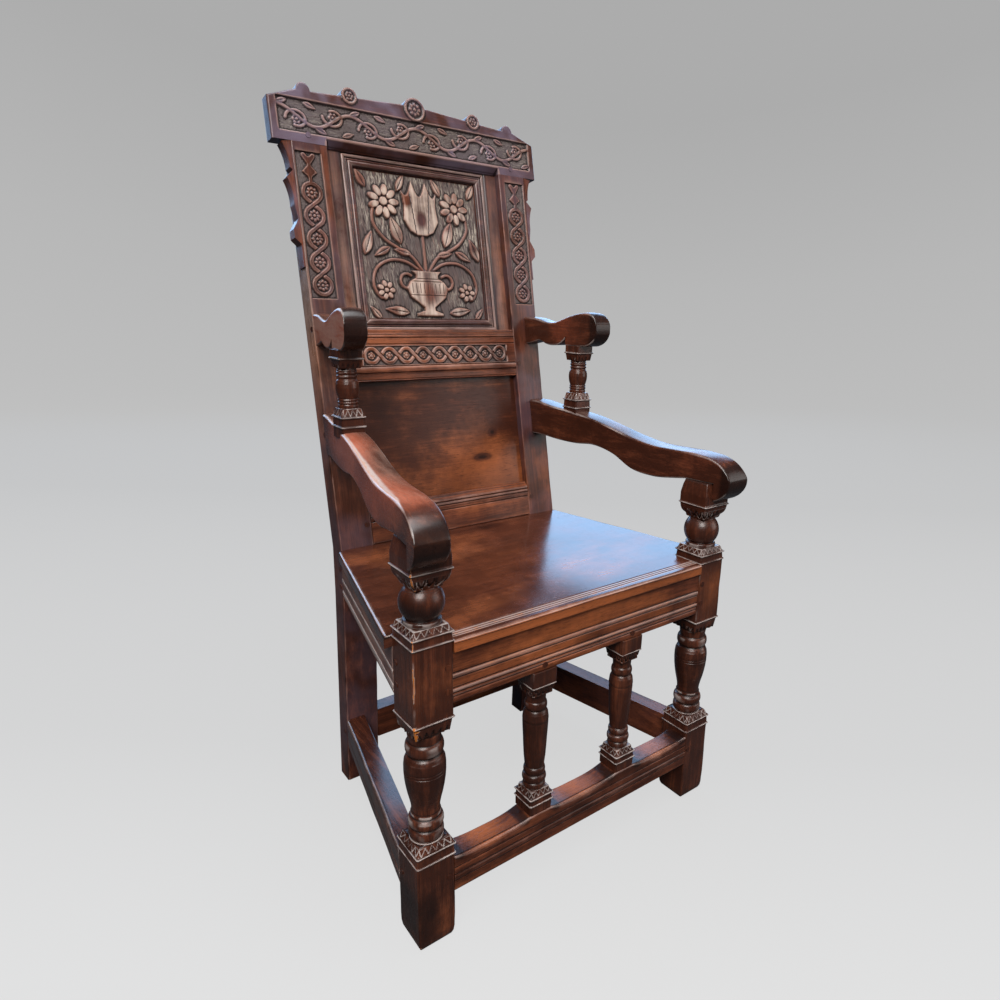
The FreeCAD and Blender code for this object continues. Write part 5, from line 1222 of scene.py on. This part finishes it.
def curve(places):
    # a smooth run of points through the places given
    places = np.array(places, float)
    at = np.arange(len(places))
    wanted = np.linspace(0, len(places) - 1, 60)
    return np.stack([throughPoints(wanted, at, places[:, k]) for k in (0, 1)], 1)


def panelRelief(u, v, vase):
    # a two-handled vase with three large flowers on curling stems, and broad leaves: the highest of all their forms
    relief = np.zeros_like(u)
    far = np.abs(u)

    def put(lift):
        np.maximum(relief, lift, out=relief)

    low, high = vase["low"], vase["high"]
    body = widthAt((v - low) / (high - low), vase["body"])
    edge = np.minimum(body - far, np.minimum(v - low, high - v))
    hoops = (np.abs(v - 466) < 0.9) + (np.abs(v - 471) < 0.9) + (np.abs(v - 441) < 0.8)
    fluting = (np.abs((far + 4) % 8 - 4) < 0.7) * (v > 444) * (v < 463)
    put(mass(edge, 5.0, 3.4) * (1 - 0.24 * np.clip(hoops + fluting, 0, 1)))
    for side in (-1, 1):
        mirrored = u * side
        put(strap(strokeDistance(mirrored, v, arc((41, 466), 13, -80, 130, 22)), 3.0, 4.0))
        put(strap(strokeDistance(mirrored, v, curve(vase["stem"])), 3.2, 3.8))
        put(strap(strokeDistance(mirrored, v, curve(vase["shoot"])), 3.0, 3.6))
        for middle, radius, petals in vase["flowers"]:
            middle = (side * middle[0], middle[1])
            put(mass(flowerEdge(u, v, middle, radius, petals), 4.8, 2.0))
            put(mass(radius * 0.27 - np.hypot(u - middle[0], v - middle[1]), 5.2, 2.6))
        for leaf in vase["leaves"]:
            edge, rib = leafEdge(mirrored, v, *leaf)
            put(mass(edge, 4.4, 2.6) * (1 - 0.3 * (rib < 0.8)))
    # the middle flower: a tulip on a straight stem
    put(strap(strokeDistance(u, v, [(0, 484), (0, 556)]), 3.6, 3.8))
    low, high = vase["cupLow"], vase["cupHigh"]
    t = (v - low) / (high - low)
    teeth = high - 26 * np.abs(np.sin(math.pi * (u / 28 + 0.5)))
    edge = np.minimum(widthAt(t, vase["cup"]) - far, np.minimum(v - low, teeth - v))
    put(mass(edge, 5.2, 3.2) * (1 - 0.24 * (np.abs(far - 12 - 10 * t) < 1.0)))
    return relief


def upperPanelPiece(panel, vase):
    # depth over the panel: plain margins, and a sunk field where the vase stands on a gouged ground
    half, fieldHalf = panel["half"], panel["fieldHalf"]
    wide, low, high = panel["carved"]
    u, v = gridOf([stops((-half, -fieldHalf, 5.0), (-fieldHalf, -wide - 2, 2.5), (-wide - 2, wide + 2, 1.0),
                         (wide + 2, fieldHalf, 2.5), (fieldHalf, half, 5.0)), [-fieldHalf - 0.3, fieldHalf + 0.3]],
                  stops((panel["low"], low - 2, 3.0), (low - 2, high + 2, 1.0), (high + 2, panel["high"], 3.0)))
    inField = np.abs(u) < fieldHalf + 0.1
    carving = (np.abs(u) < wide) * (v > low) * (v < high)
    relief = panelRelief(u, v, vase) * carving
    bare = 1 - smooth(0.05, 0.6, relief)
    # the highest tops of the relief turn pale in patches: rubbed wear and painted highlight together
    tops = smooth(3.9, 4.6, relief) * smooth(0.2, 0.6, lattice(u, v, 26, 34, 114))
    gouged = 1.3 * lattice(u + v * 0.25, v - u * 0.3, 2.4, 15, 111) + 0.9 * lattice(u - v * 0.2, v, 5, 26, 112)
    d = np.where(inField, panel["sink"] - 1.2 + relief + carving * bare * (gouged - 0.6) * 0.9, panel["margin"])
    d = d + swell(u, v, 113) * (1 - carving * bare)
    return slab("upperPanel", u, v, d, panel["margin"] - panel["thick"], onBack, "carved", ["upper_panel"],
                (carving * bare - tops) * inField, wearShare=carving * 0.9)


upperPanelPiece(upperPanel, vase)

panelFrame = dict(half=143.8, low=376.2, high=676.3, width=21.0, face=-20.0, beads=((3.4, 2.9, 2.4), (15.3, 4.3, 3.3)),
                  grooves=((6.8, 0.9, 1.6), (10.6, 0.8, 1.2)))


def frameStrip(place, start, end, strip):
    # a moulding carried from one mitre to the other: start and end are outer corners, given as shares of the frame,
    # and w runs inwards from the outer edge, at right angles to the run
    half, low, high, width = (strip[key] for key in ("half", "low", "high", "width"))
    start, end = (np.array([half * x, high if z > 0 else low]) for x, z in (start, end))
    length = np.linalg.norm(end - start)
    run = (end - start) / length
    t, w = gridOf(np.linspace(0, 1, 90), [np.linspace(0, width, 44), [0.2, width - 0.2]])
    reach = w + (length - 2 * w) * t
    u = start[0] + run[0] * reach - run[1] * w
    v = start[1] + run[1] * reach + run[0] * w
    d = (strip["face"] - 0.2 + 3.6 * smooth(0, 0.5, w) + beads(w, strip["beads"]) - grooves(w, strip["grooves"])
         - smooth(width - 1.5, width, w) + 0.25 * (lattice(reach, w, 25, 60, 121) - 0.5))
    # a pale line along the outer bead: rubbed polish and painted highlight together
    rubs = 0.7 * smooth(1.6, 2.6, w) * (1 - smooth(3.8, 4.8, w)) * lattice(reach, w, 30, 9, 122)
    return slab("frame" + place.capitalize(), u, v, d, strip["face"], onBack, "strip", ["panel_frame_" + place],
                rings=2, rubs=rubs)


for place, start, end in (("bottom", (-1, -1), (1, -1)), ("top", (1, 1), (-1, 1)), ("right", (1, -1), (1, 1)),
                          ("left", (-1, 1), (-1, -1))):
    frameStrip(place, start, end, panelFrame)
print("upper panel carved and framed")

# The solids that show as they are, by finish
plain = dict(level=("rear_seat_rail", "rear_stretcher"), wing=("stile_wing_left", "stile_wing_right"),
             peg=("post_pegs", "stile_pegs", "arm_pegs", "spindle_pegs"), crest=("crest_pegs",))
for finish, names in plain.items():
    for name in names:
        for slotOf in nodes[name].material_slots:
            slotOf.material = finishes[finish]
print("plain rails, wings and pegs finished")


# Floor, backdrop and lamps
room = dict(floor=6.0, cove=3.0, wall=5.5)


def addStage(room):
    # a round floor that curves up into a wall: a profile of radius and height turned about the middle
    bend = np.linspace(0, math.pi / 2, 24)
    reach = np.concatenate([[0.02, 0.6, 1.5, 3.0], room["floor"] + room["cove"] * np.sin(bend),
                            [room["floor"] + room["cove"]]])
    rise = np.concatenate([[0, 0, 0, 0], room["cove"] * (1 - np.cos(bend)), [room["wall"]]])
    around = 96
    turn = np.arange(around) * 2 * math.pi / around
    th, k = np.meshgrid(turn, np.arange(len(reach)), indexing="ij")
    points = np.stack([reach[k] * np.cos(th), reach[k] * np.sin(th), rise[k] - 0.0002], -1).reshape(-1, 3)
    faces = gridFaces(*th.shape, around=True)[:, ::-1].tolist() + [(np.arange(around) * len(reach)).tolist()]
    mesh = bpy.data.meshes.new("floor")
    mesh.from_pydata(points.tolist(), [], faces)
    mesh.polygons.foreach_set("use_smooth", np.ones(len(mesh.polygons), bool))
    floor = bpy.data.objects.new("floor", mesh)
    scene.collection.objects.link(floor)
    mesh.materials.append(floorFinish())


def floorFinish():
    # pale grey, a little darker with distance; the camera sees mostly its plain colour, and the shadow on it
    material = bpy.data.materials.new("paleFloor")
    graph = Graph(material)
    place = graph.coordinates()
    distance = graph.node("ShaderNodeVectorMath", dict(operation="DOT_PRODUCT"), (place, (0.626, 0.78, 2.0)), 1)
    share = (distance + 1.18) / 17.0
    greys = ((0.043, 0.768), (0.075, 0.679), (0.188, 0.584), (0.39, 0.545), (0.676, 0.503), (0.97, 0.44))
    tone = graph.node("ShaderNodeValToRGB", dict(stops=[(at, (grey, grey, grey)) for at, grey in greys]), (share,))
    seen = graph.node("ShaderNodeLightPath", None, (), 0)
    colour = graph.blend(seen, (0.05, 0.05, 0.05), (0.30, 0.30, 0.30))
    matt = graph.node("ShaderNodeBsdfPrincipled", None,
                      {"Base Color": colour, "Roughness": 0.9, "Specular IOR Level": 0.1})
    glow = graph.node("ShaderNodeEmission", None, {"Color": tone, "Strength": 1.0})
    graph.node("ShaderNodeOutputMaterial", None, (graph.node("ShaderNodeMixShader", None, (seen * 0.93, matt, glow)),))
    return material


def addLamp(name, place, target, size, power, colour):
    # a rectangle of light at a place, turned to face its target; it doesn't show itself
    data = bpy.data.lights.new(name, "AREA")
    data.shape = "RECTANGLE"
    data.size, data.size_y = size
    data.energy = power
    data.color = colour
    lamp = bpy.data.objects.new(name, data)
    ahead = np.array(target, float) - np.array(place, float)
    ahead /= np.linalg.norm(ahead)
    right = np.cross(ahead, (0, 0, 1))
    right /= np.linalg.norm(right)
    up = np.cross(right, ahead)
    lamp.matrix_world = Matrix([[right[k], up[k], -ahead[k], place[k]] for k in range(3)] + [[0, 0, 0, 1]])
    lamp.visible_camera = False
    scene.collection.objects.link(lamp)


addStage(room)
addLamp("key", (-2.0, -2.4, 3.4), (0, 0, 0.7), (2.0, 2.0), 210, (1.0, 0.97, 0.94))
addLamp("overhead", (0.1, -0.6, 4.2), (0, 0, 0.5), (2.4, 2.4), 150, (0.95, 0.98, 1.0))
addLamp("fill", (2.8, -2.6, 1.6), (0, 0, 0.6), (2.4, 2.0), 35, (1.0, 0.98, 0.96))
addLamp("windowBehind", (1.7, 3.5, 2.3), (0, 0, 0.6), (7.4, 2.4), 228, (0.37, 0.63, 1.0))
world = bpy.data.worlds.new("studio")
scene.world = world
worldGraph = Graph(world)
backdrop = worldGraph.node("ShaderNodeBackground", None, {"Color": (0.80, 0.84, 0.92, 1), "Strength": 0.12})
worldGraph.node("ShaderNodeOutputWorld", None, (backdrop,))
scene.view_settings.view_transform = "Standard"
print("floor and lamps set")
